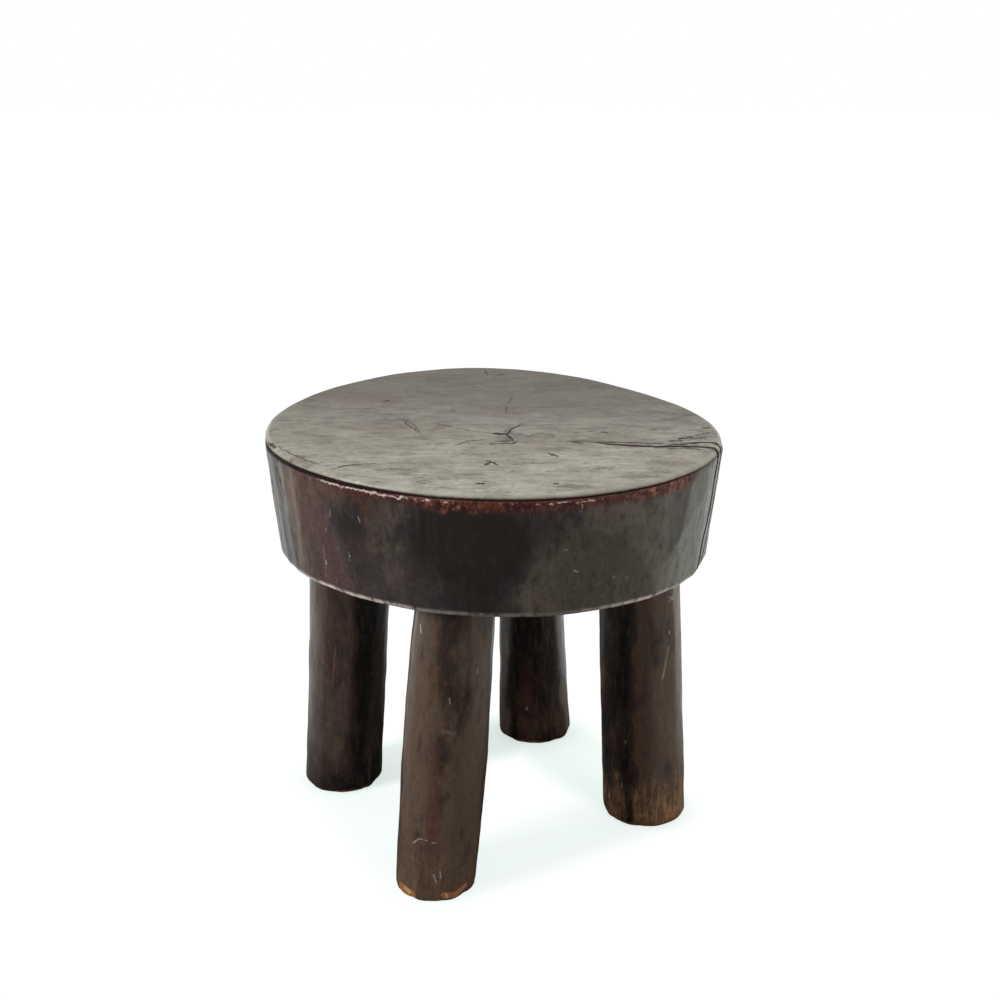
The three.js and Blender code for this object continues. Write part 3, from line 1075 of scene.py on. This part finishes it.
# %% Marks on the seat
MARK_SINK = 0.6
DARK = (38, 28, 14)
PALE = (140, 128, 114)
PINK = (136, 104, 95)
CRACK_STAIN = (62, 50, 36)
CRACK_GRIME = (44, 42, 39)
TOP_STAINS = [
    ([(10.7, -24.8), (20.2, -28.0), (34.0, -26.5)], 10.0, 0.7, (66, 56, 38)),
    ([(54, -39), (84, -49)], 12.0, 0.6, (72, 58, 44)),
    ([(100, -44), (130, -47)], 10.0, 0.35, (176, 170, 156)),
    ([(-89, 55.5), (-70, 56.5)], 32.0, 0.75, (82, 57, 46)),
    ([(4, 59), (24, 56), (44, 49)], 30.0, 0.5, (80, 74, 60)),
    ([(97.7, -17.2), (103.1, -18.4), (109.7, -15.2)], 6.5, 0.6, DARK),
    ([(112.9, -35.2), (127.5, -32.1)], 11.0, 0.5, (60, 50, 36)),
    (MAIN_CRACK[::2], 8.5, 0.85, CRACK_STAIN),
    (UPPER_BRANCH[::2], 7.0, 0.85, CRACK_STAIN),
    (PITH_CRACK[::2], 6.5, 0.85, CRACK_STAIN),
]
TOP_MARKS = [
    ([(2.9, -24.2), (7.0, -25.4)], 6.0, 1.0),
    ([(-20.9, -48.6), (-13.8, -39.4), (-5.4, -37.0)], 2.8, 0.5),
    ([(-0.1, -45.9), (12.4, -44.9), (14.5, -43.1)], 3.0, 0.75),
    ([(-33.1, -3.6), (-14.3, -17.2), (2.2, -24.4)], 3.0, 0.36),
    ([(-120.5, 37.4), (-102.9, 32.6), (-65.7, 27.8)], 2.5, 0.25),
    ([(-57.8, 8.4), (-53.2, 4.6), (-47.1, -7.4), (-43.0, -22.7)], 2.6, 0.35),
    ([(-1.6, -78.3), (3.0, -85.6)], 3.0, 0.85),
    ([(-2.4, -86.5), (-0.4, -81.8)], 3.2, 0.85),
    ([(-6.2, -121.4), (-4.2, -121.6)], 4.4, 1.0),
    ([(33.4, -65.0), (37.8, -71.3)], 3.2, 0.85),
    ([(35.0, -120.5), (36.5, -120.9)], 3.4, 0.8),
    ([(67.3, -21.7), (69.5, -23.8)], 3.4, 0.8),
    ([(-133.5, -40.4), (-126.4, -52.6)], 3.6, 0.8),
    ([(-70.0, 46.8), (-67.0, 50.5)], 4.0, 0.5),
    ([(-4.9, 128.0), (-3.5, 115.5)], 2.2, 0.4),
    ([(3.2, 115.5), (7.3, 118.0)], 4.0, 0.35),
    ([(13.1, 59.2), (10.8, 46.8)], 2.2, 0.32),
    ([(9.1, 39.5), (9.0, 20.6)], 2.2, 0.3),
    ([(129.0, -14.1), (132.1, -13.3)], 4.5, 0.7),
    ([(123.0, -28.5), (131.0, -24.0)], 3.2, 0.6),
    ([(111.9, -37.2), (119.5, -33.1)], 3.8, 0.95),
    ([(119.0, -36.8), (127.0, -34.6)], 3.0, 0.65),
    ([(104.4, -41.9), (111.4, -41.0)], 3.8, 0.9),
    ([(63.5, -42.5), (78.3, -43.5), (98.9, -46.6), (119.6, -44.5)], 3.0, 0.7),
    ([(103, -57.0), (114, -56.0), (123, -59)], 3.4, 0.5),
    ([(47.1, -41.3), (50.0, -43.5), (53.3, -44.9)], 4.0, 0.6),
    ([(-88.1, -96.1), (-84.1, -90.8), (-77.7, -86.2), (-64.9, -84.7)], 2.8, 0.55),
]
WALL_MARKS = [
    ([(49.0, -133.9, 256), (48.4, -133.7, 250.5)], 1.3, 0.9, PALE),
    ([(45.0, -131, 215.3), (47.5, -130, 214.4)], 2.4, 0.8, PALE),
    ([(40.3, -133.8, 228.3), (41.5, -133.5, 228.6)], 1.4, 0.6, PALE),
    ([(67.0, -121.3, 207.6), (68.5, -120.5, 206.9)], 1.6, 0.5, PALE),
    ([(74.5, -117.1, 205.3), (76, -116.3, 205.2)], 1.6, 0.5, PALE),
    ([(76.5, -120.5, 241.2), (76.9, -120.2, 240.6)], 1.4, 0.7, PALE),
    ([(-93.5, -90.8, 216), (-94.3, -88.0, 188)], 1.2, 0.6, PINK),
    ([(-89.0, -100.3, 239), (-89.5, -99.6, 236)], 2.0, 0.5, PINK),
    ([(-92.2, -95.6, 227), (-92.4, -95.2, 224.5)], 1.4, 0.7, PINK),
    ([(-78.6, -106.0, 216), (-79, -105.3, 212)], 1.4, 0.8, PALE),
    ([(-93.5, -90.8, 205.5), (-93.6, -90.4, 203)], 1.8, 0.8, PALE),
    ([(-72.2, -112.8, 240), (-71.8, -112.6, 237)], 1.6, 0.7, PINK),
    ([(-103.2, -79.7, 196), (-103.6, -79, 193.5)], 1.6, 0.7, PINK),
]
WALL_SCARS = [
    (MAIN_WALL[1:-1], 6.5, 0.7, CRACK_GRIME),
    (BRANCH_WALL[1:-1], 6.5, 0.7, CRACK_GRIME),
    ([(-148, 248), (-147, 222), (-149, 196)], 4.4, 0.4, (140, 112, 102)),
    ([(-160, 252), (-157, 228)], 6.0, 0.4, (150, 132, 114)),
    ([(-156, 250), (-153, 236)], 3.6, 0.5, (60, 42, 32)),
    ([(-166, 252), (-164, 236)], 5.0, 0.6, (60, 46, 36)),
    ([(-167, 236), (-166, 205)], 5.0, 0.45, (70, 60, 52)),
]


def on_top_face(line):
    return [(x, y, STOOL_HEIGHT - MARK_SINK) for x, y in line]


def on_wall(line):
    places = []
    for degrees, height in line:
        angle = math.radians(degrees)
        radius = wall_at(angle, height) - MARK_SINK
        x, y = radius * math.cos(angle), radius * math.sin(angle)
        places.append((x - SEAT_MIDDLE[0], y - SEAT_MIDDLE[1], height))
    return places


stains = [(on_top_face(line), *look) for line, *look in TOP_STAINS]
top_marks = [(on_top_face(line), *look, DARK) for line, *look in TOP_MARKS]
wall_marks = WALL_MARKS + [(on_wall(line), *look) for line, *look in WALL_SCARS]

# %% [markdown]
# ## The finish of the seat
#
# On top the saw has crossed the grain. Smoke and wax have closed its pores, and it has worn to a
# dull grey brown that is mottled at every scale. Towards the front the top is painted paler and
# greener, a painted sheen. The wall is darker and warmer, and each adze stroke has a tone of its
# own. Under the rim at the front the finish has been knocked off, and raw red brown wood shows.
# Some of the layers are painted light and shade: a sheen on the rim and on two facets, highlights
# on the ledge and the lower edge, and shade in part of the wall's darkness, in the groove, along
# the lower edge and inside the cracks. Each of these is a colour laid over the last, where a noise
# or a painted guide says so.

# %% Seat finish: the top
seat_material, wood = new_material("seat_wood")
place = wood.place()
x, y, z = wood.axes(place)
shaken = wood.shaken(place, 3, 3.5)
drifting = wood.shaken(place, 12, 18)
bands = wood.noise(place, 34, 4, 0.55, stretch=(1.8, 0.9, 1))
clouds = wood.noise(place, 13, 6, 0.66, stretch=(2.0, 1.0, 1), shift=(3, 0, 0))
hairs = wood.noise(place, 4.0, 5, 0.64, stretch=(3.4, 1.0, 1), shift=(5, 2, 0))
winding = wood.noise(place, 15, 4, 0.6, stretch=(2.0, 0.9, 1), shift=(8, 1, 0))
grit = wood.noise(place, 2.3, 4, 0.68, stretch=(1.5, 1.2, 1), shift=(0, 7, 0))
nicks = wood.noise(place, 4.4, 3, 0.6, stretch=(2.0, 0.8, 1), shift=(2, 9, 0))
# Painted sheen: the top is painted paler and greener towards the front and darker and browner behind,
# for the way the light falls across it.
top_colour = wood.mix(wood.rise(y, 100, -110), colour(81, 72, 58), colour(143, 142, 128))
for share, tint in (
    (wood.rise(bands, 0.42, 0.62) * 0.6, (0.68, 0.58, 0.5)),
    (wood.rise(bands, 0.48, 0.36) * 0.35, (1.1, 1.17, 1.13)),
    (wood.rise(clouds, 0.46, 0.66) * 0.75, (0.6, 0.54, 0.48)),
    (wood.rise(hairs, 0.48, 0.66) * 0.7, (0.58, 0.52, 0.46)),
    (wood.rise(hairs, 0.46, 0.34) * 0.6, (1.34, 1.34, 1.32)),
    (wood.rise(grit, 0.5, 0.66) * 0.6, (0.52, 0.46, 0.4)),
):
    top_colour = wood.mix(share, top_colour, (*tint, 1), "MULTIPLY")
scratches = wood.rise((winding - 0.5).from_zero(), 0.02, 0.005) * wood.rise(clouds, 0.5, 0.58)
top_colour = wood.layers(
    top_colour,
    (scratches * 0.7, (60, 50, 40)),
    (wood.rise(nicks, 0.66, 0.72) * 0.75, DARK),
)
# Painted highlight on the rolled rim at the front and painted shade on it behind, where the rim guide
# is high.
rim_highlight_and_shade = wood.mix(wood.rise(y, -20, 30), colour(186, 184, 170), colour(58, 54, 54))
top_colour = wood.mix(wood.guide("rim"), top_colour, rim_highlight_and_shade)
soft = (0.0, 1.2)
top_colour, _ = wood.marked(top_colour, drifting, clouds, on_surface(seat, stains), soft)
top_colour, top_marked = wood.marked(top_colour, shaken, grit, on_surface(seat, top_marks))

# %% Seat finish: the wall
smoke_and_shade = wood.guide("smoke_and_shade")
redness = wood.guide("redness")
streaks = wood.noise(place, 4, 5, 0.6, stretch=(1, 1, 5), shift=(1, 0, 0))
patches = wood.noise(place, 15, 5, 0.6, stretch=(1, 1, 1.6), shift=(0, 4, 0))
grime = wood.noise(place, 5, 4, 0.6, stretch=(1, 1, 1.8), shift=(6, 0, 2))
flecks = wood.noise(place, 2.2, 2, 0.5, stretch=(1, 1, 2.5), shift=(9, 0, 0))
dents = wood.noise(place, 2.6, 4, 0.66, stretch=(1, 1, 1.5), shift=(3, 8, 0))
# The smoke guide holds smoke and painted shade: where it is high the wall is painted darker.
smoke_and_shade_level = smoke_and_shade + (patches - 0.5) * 0.5 + (grime - 0.5) * 0.3
open_wood = 1 - wood.rise(smoke_and_shade_level, 0.2, 0.9) * 0.8
wall_colour = wood.mix(wood.rise(redness, 0.2, 0.8), colour(84, 78, 66), colour(72, 50, 44))
wall_colour = wood.layers(
    wall_colour,
    (wood.guide("tan") * wood.rise(grime, 0.62, 0.45), (108, 86, 64)),
    (wood.rise(smoke_and_shade_level, 0.25, 0.6), (52, 45, 45)),
    (wood.rise(smoke_and_shade_level, 0.55, 1.0), (36, 30, 27)),
    # Painted sheen: two facets at the sides are painted paler and greener.
    (wood.guide("pale") * 0.4, (126, 132, 122)),
)
stroke_shade = wood.mix(wood.guide("tone"), grey(0.72), grey(1.28))
wall_colour = wood.layers(
    wood.mix(1, wall_colour, stroke_shade, "MULTIPLY"),
    (wood.rise(grime, 0.5, 0.66) * 0.35, (34, 27, 25)),
    (wood.rise(streaks, 0.5, 0.68) * open_wood * 0.14, (116, 102, 92)),
    (wood.rise(dents, 0.54, 0.68) * 0.35, (28, 22, 20)),
    (wood.rise(dents, 0.44, 0.3) * open_wood * 0.22, (124, 108, 98)),
    (wood.rise(flecks, 0.72, 0.8) * open_wood * 0.5, (138, 120, 108)),
)

# %% Seat finish: under the rim and at the lower edge
raw = wood.guide("raw")
grooved = wood.guide("grooved")
rim_noise = wood.noise(place, 6, 5, 0.66, stretch=(1, 1, 1.2), shift=(2, 2, 0))
rim_grain = wood.noise(place, 2.0, 4, 0.66, stretch=(1, 1, 1.6), shift=(4, 4, 0))
rim_spots = wood.noise(place, 4.5, 3, 0.6, shift=(1, 6, 3))
raw_line = LEDGE - raw * (rim_noise * 12 - 1.0)
raw_band = wood.rise(z, raw_line - 4.5, raw_line + 1.8) * wood.rise(raw, 0.05, 0.4)
raw_band = raw_band * wood.rise(z, 259.6, 258.4)
raw_colour = wood.mix(wood.rise(rim_grain, 0.35, 0.65), colour(34, 9, 6), colour(98, 34, 22))
bright = wood.rise(rim_spots * 0.7 + rim_grain * 0.3, 0.48, 0.6) * wood.guide("orange")
raw_colour = wood.mix(bright * 0.8, raw_colour, colour(146, 94, 64))
# Painted highlight: a ragged pale pink line along the worn ledge, where its ridge catches the light.
ragged = z + (rim_noise - 0.5) * 7
burr_highlight = wood.rise(ragged, 255.3, 255.9) * wood.rise(ragged, 256.7, 256.2)
burr_highlight = burr_highlight * wood.rise(rim_spots + wood.guide("burr_highlight") * 0.3, 0.6, 0.76)
# Painted highlight along the lower edge, where its rolled edge catches light from the floor.
low_edge_highlight = wood.rise(z, 191.4, 189.2) * wood.rise(grime, 0.75, 0.4)
wall_colour = wood.layers(
    wood.mix(raw_band * 0.9, wall_colour, raw_colour),
    (burr_highlight * 0.85, (204, 182, 176)),
    # Painted shade along the lower edge, with the painted highlight laid over it.
    (wood.rise(z, 191.5, 188.5) * 0.6, (26, 21, 19)),
    (low_edge_highlight * wood.guide("edge_highlight"), (200, 188, 176)),
)
wall_colour, wall_marked = wood.marked(wall_colour, shaken, dents, on_surface(seat, wall_marks))
in_groove = wood.rise(z, GROOVE_HEIGHT - grooved * 1.6, 258.2 - grooved * 1.3)
in_groove = in_groove * wood.rise(z, 258.9, 258.5)
# Painted shade in the groove under the rim, in a dark red brown.
groove_shade = in_groove * wood.rise(grooved, 0.05, 0.25) * wood.guide("groove_shade") * 0.97
wall_colour = wood.layers(wall_colour, (groove_shade, (20, 6, 4)))

# %% Seat finish: put together
in_crack = wood.guide("in_crack")
on_top = wood.rise(z, 258.4, 260.2)
seat_colour = wood.mix(on_top, wall_colour, top_colour)
# Faces inside the cracks are painted one flat dark brown, a painted shade in the recess.
seat_colour = wood.layers(seat_colour, (in_crack, (72, 62, 48)))
matt = top_marked.at_least(wall_marked).at_least(in_crack).at_least(in_groove)
shine = 0.24 + grime * 0.2 + on_top * 0.12 + raw_band * 0.25 + matt * 0.6
top_relief = hairs * 0.6 + grit * 0.5 + clouds * 0.3
wall_relief = streaks * 0.2 + grime * 0.5 + dents * 0.5 + rim_grain * raw_band
relief = on_top * top_relief + (1 - on_top) * wall_relief
wood.finish_surface(seat_colour, shine, relief, 0.6, IOR=1.42)
seat.data.materials.clear()
seat.data.materials.append(seat_material)
print("The seat's finish has", len(seat_material.node_tree.nodes), "nodes")

# %% [markdown]
# ## The finish of the legs
#
# The legs show long grain: streaks that run from the seat to the floor, darker where smoke has
# gathered and where shade is painted, and redder where hands have rubbed. Their feet have lost the
# finish along the edge.


# %% Leg finish
def leg_finish(name, shift, warm, foot, marks):
    """Long-grained wood in one leg's own tone. Foot says how far its foot has lost the finish."""
    material, wood = new_material(name)
    place = wood.place()
    (z,) = wood.axes(place, "Z")
    smoke_and_shade = wood.guide("smoke_and_shade")
    grain = wood.noise(place, 2.4, 4, 0.6, stretch=(1, 1, 8), shift=(shift, 0, 0))
    patches = wood.noise(place, 8, 5, 0.62, stretch=(1, 1, 2), shift=(0, 0, shift))
    specks = wood.noise(place, 2.2, 4, 0.66, stretch=(1, 1, 1.7), shift=(shift, shift, 0))
    # The smoke guide holds smoke and painted shade: where it is high the leg is painted darker.
    smoke_and_shade_level = smoke_and_shade + (patches - 0.5) * 0.7 + (grain - 0.5) * 0.35
    body = wood.layers(
        colour(*warm),
        (wood.rise(smoke_and_shade_level, 0.2, 0.58), (46, 35, 29)),
        (wood.rise(smoke_and_shade_level, 0.55, 0.95), (20, 17, 16)),
        (wood.guide("redness") * wood.rise(patches, 0.8, 0.35) * 0.7, (76, 36, 28)),
        (wood.rise(grain, 0.5, 0.7) * 0.25, (104, 84, 68)),
        (wood.rise(specks, 0.5, 0.68) * 0.25, (30, 23, 20)),
        (wood.rise(specks, 0.42, 0.3) * 0.2, (116, 96, 78)),
    )
    low = wood.rise(z + (grain - 0.5) * 60 + (patches - 0.5) * 60, 42, 4) * foot
    low = low * wood.rise(smoke_and_shade, 0.9, 0.35)
    mottling = wood.rise(grain * 0.5 + specks * 0.5, 0.42, 0.58)
    body = wood.mix(low * 0.85, body, wood.mix(mottling, colour(150, 114, 78), colour(98, 72, 50)))
    foot_line = wood.noise(place, 7, 3, 0.6, shift=(0, shift, 3)) * 8 - 2.6 + foot * 1.2
    worn = wood.rise(z, foot_line + 0.7, foot_line - 0.7)
    body = wood.mix(worn * 0.8, body, wood.mix(specks, colour(140, 90, 52), colour(96, 54, 36)))
    body, _ = wood.marked(body, wood.shaken(place, 3, 1.4), specks, marks)
    shine = 0.3 + patches * 0.2 + worn * 0.2
    relief = grain * 0.6 + specks * 0.25 + patches * 0.3
    coat = {"Coat Weight": wood.guide("polish") * 0.5, "Coat Roughness": 0.22}
    wood.finish_surface(body, shine, relief, 0.5, IOR=1.34, **coat)
    return material


# %% Tones and marks of the legs
# Each leg has where its grain is taken from, its warm colour, and how far its foot is worn.
LEG_FINISHES = {
    "front": (1.0, (80, 63, 49), 0.15),
    "left": (4.0, (64, 52, 45), 0.0),
    "right": (8.0, (80, 61, 45), 1.0),
    "rear": (13.0, (84, 76, 70), 0.1),
}
LEG_MARKS = {
    "front": [
        ([(-39.8, -103.5, 171), (-39.2, -105.0, 167)], 1.8, 0.8, (160, 152, 140)),
        ([(-27.5, -118.2, 111), (-21.6, -117.5, 109.4)], 4.0, 0.32, (112, 100, 84)),
        ([(-23.3, -116.3, 131), (-23.6, -116.3, 128)], 1.6, 0.6, (130, 118, 104)),
        ([(-45.6, -116.8, 37.2), (-41.8, -118.8, 41.1), (-37.6, -120.7, 41.0)], 1.3, 0.9, PALE),
        ([(-34.5, -121.3, 39.5), (-32.5, -121.3, 39.8)], 1.2, 0.7, PALE),
        ([(-33.8, -122.0, 18.7), (-32.7, -122.2, 13.3)], 1.4, 0.8, PALE),
        ([(-30.2, -121.9, 20.5), (-29.9, -122, 16.5)], 1.3, 0.8, PALE),
        ([(-7.9, -109.6, 147), (-7.9, -109.6, 144)], 1.6, 0.5, PALE),
        ([(-53, -112, 4), (-46.5, -118.3, 3)], 8.0, 0.85, (150, 98, 52)),
        ([(-50, -115, 5), (-48, -117, 3.5)], 4.0, 0.7, (190, 144, 100)),
        ([(-28, -122, 4.5), (-22, -122.2, 3.5)], 6.5, 0.85, (150, 98, 54)),
        ([(-27, -122, 5.0), (-26, -122.2, 2.5)], 2.4, 0.7, (190, 150, 112)),
        ([(-19, -121.5, 3.5), (-11, -119.5, 5)], 6.0, 0.85, (158, 104, 66)),
    ],
    "left": [
        ([(-102, 4.8, 41), (-101, 4.8, 35)], 7.0, 0.22, (96, 80, 60)),
        ([(-104.8, 5.2, 80), (-103.2, 4.6, 95), (-101.7, 4.0, 108)], 2.4, 0.3, (110, 78, 68)),
    ],
    "right": [
        ([(109.4, -29.0, 157.5), (113.2, -27.3, 154.5)], 2.0, 0.6, (132, 130, 120)),
        ([(113.2, -27.4, 157.5), (109.6, -29.0, 154.3)], 2.0, 0.6, (132, 130, 120)),
        ([(110.8, -30.1, 134.6), (110.8, -30.1, 133)], 1.8, 0.8, PALE),
        ([(110.4, -30.8, 124), (109.4, -31.7, 118)], 2.6, 0.5, (140, 122, 98)),
        ([(109.0, -32.0, 116), (107.1, -33.6, 104)], 3.0, 0.55, (146, 126, 100)),
        ([(84.0, -33.0, 29), (84.4, -33.0, 26)], 1.8, 0.7, PALE),
        ([(85.6, -35.0, 60.5), (85.6, -35.0, 58.7)], 1.2, 0.7, PALE),
    ],
    "rear": [([(24.5, 74.7, 29), (24.7, 74.7, 27)], 1.5, 0.7, PALE)],
}

for side, (shift, warm, foot) in LEG_FINISHES.items():
    legs[side].data.materials.clear()
    marks = on_surface(legs[side], LEG_MARKS[side])
    legs[side].data.materials.append(leg_finish(f"leg_wood_{side}", shift, warm, foot, marks))

# %% [markdown]
# ## Joining the frame
#
# The carved pieces take the places of the CAD nodes, which stay in the physics model for contact.
# There is one body, because nothing on this stool moves.

# %% Ride on the frame
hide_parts("seat")
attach(seat, "root")
for side, piece in legs.items():
    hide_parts(f"leg_{side}")
    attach(piece, "root")

# %% [markdown]
# ## The studio
#
# The stool stands on a white floor in a bright, soft studio. The side that the camera looks from
# is dim, and the walls beside and behind the stool are white, so the dark wood picks up a pale sheen
# on top and down both sides while its front stays dark. Between the feet the floor is a little
# darker, a painted shadow: a greenish band where less of its glow is mixed in.

# %% Floor
FLOOR_RADIUS = 6.0
FLOOR_DROP = 0.0002
SHADOW_WIDTH = 90
# How dark the painted shadow on the floor is between each leg's foot and the next one's.
FLOOR_SHADOWS = {"front": 0.65, "right": 1.2, "rear": 1.3, "left": 0.6}

bpy.ops.object.select_all(action="DESELECT")
bpy.ops.mesh.primitive_circle_add(
    vertices=96, radius=FLOOR_RADIUS, fill_type="NGON", location=(0, 0, -FLOOR_DROP)
)
floor = bpy.context.object
floor.name = "studio_floor"
floor_material, paper = new_material("studio_floor")
floor_place = paper.place()
floor_x, behind = paper.axes(floor_place, "XY")
reach = paper.vector("LENGTH", [floor_place], "Value")
# Seen in reflections, the floor is painted dark under the stool and in front of it, a painted shade,
# and pale further behind.
lit = paper.rise(behind + floor_x * 0.25, -350, 450) * paper.rise(reach, 100, 260)
mirrored = paper.mix(lit, grey(0.06), (0.88, 0.92, 0.9, 1))
sheet = paper.mix(paper.ray("Glossy"), grey(0.6), mirrored)
in_view = paper.ray("Camera")
sheet = paper.mix(in_view, sheet, colour(246, 249, 248))
plain = paper.node("ShaderNodeBsdfDiffuse", None, {"Color": sheet})
# Painted shadow on the floor: a band from each foot to the next is tinted green and shows less of the
# floor's glow.
feet = [Vector((*leg_middle(LEGS[side], 0), 0)) for side in FLOOR_SHADOWS]
ring = 0
for start, end, depth in zip(feet, feet[1:] + feet[:1], FLOOR_SHADOWS.values()):
    ring = (paper.stroke(floor_place, start, end, SHADOW_WIDTH) * depth).at_least(ring)
tint = paper.mix(ring, colour(255, 255, 255), colour(243, 255, 250))
glow = paper.node("ShaderNodeEmission", None, {"Color": tint, "Strength": 1.03})
white = paper.node("ShaderNodeMixShader", None, [in_view * (1 - 0.26 * ring), plain, glow])
paper.node("ShaderNodeOutputMaterial", None, {"Surface": white})
floor.data.materials.append(floor_material)

# %% World and lamps
world = bpy.data.worlds.new("studio")
bpy.context.scene.world = world
world.use_nodes = True
air = Finish(world.node_tree)
towards = air.node("ShaderNodeTexCoord", output="Generated")
to_x, to_y, to_z = air.axes(towards)
beyond = air.rise(to_y, -0.1, 0.6)
above = air.rise(to_z, 0.35, 0.95)
left_wall = air.rise(to_x, -0.55, -0.95)
right_wall = air.rise(to_x, 0.55, 0.95)
level = 0.03 + 0.97 * beyond
level = level.at_least(0.62 * left_wall).at_least(0.8 * right_wall).at_least(0.7 * above)
seen = air.ray("Camera").at_least(air.ray("Transmission"))
strength = seen + (1 - seen) * level
background = air.node("ShaderNodeBackground", None, {"Color": grey(1), "Strength": strength})
air.node("ShaderNodeOutputWorld", None, {"Surface": background})


def softbox(name, place, power, size):
    """A square lamp that faces the middle of the stool."""
    bpy.ops.object.light_add(type="AREA", location=place)
    lamp = bpy.context.object
    lamp.name = name
    lamp.data.energy = power
    lamp.data.size = size
    towards_stool = Vector((0, 0, 0.15)) - Vector(place)
    lamp.rotation_euler = towards_stool.to_track_quat("-Z", "Y").to_euler()


softbox("key_left", (-1.5, -0.75, 1.0), 26, 0.4)
softbox("fill_right", (1.5, -0.5, 0.8), 6, 0.8)
softbox("overhead", (0.1, 0.5, 1.9), 6, 1.2)

# %% [markdown]
# ## The view
#
# The picture is shown plainly, without a film curve.

# %% Finish
bpy.context.scene.view_settings.view_transform = "Standard"
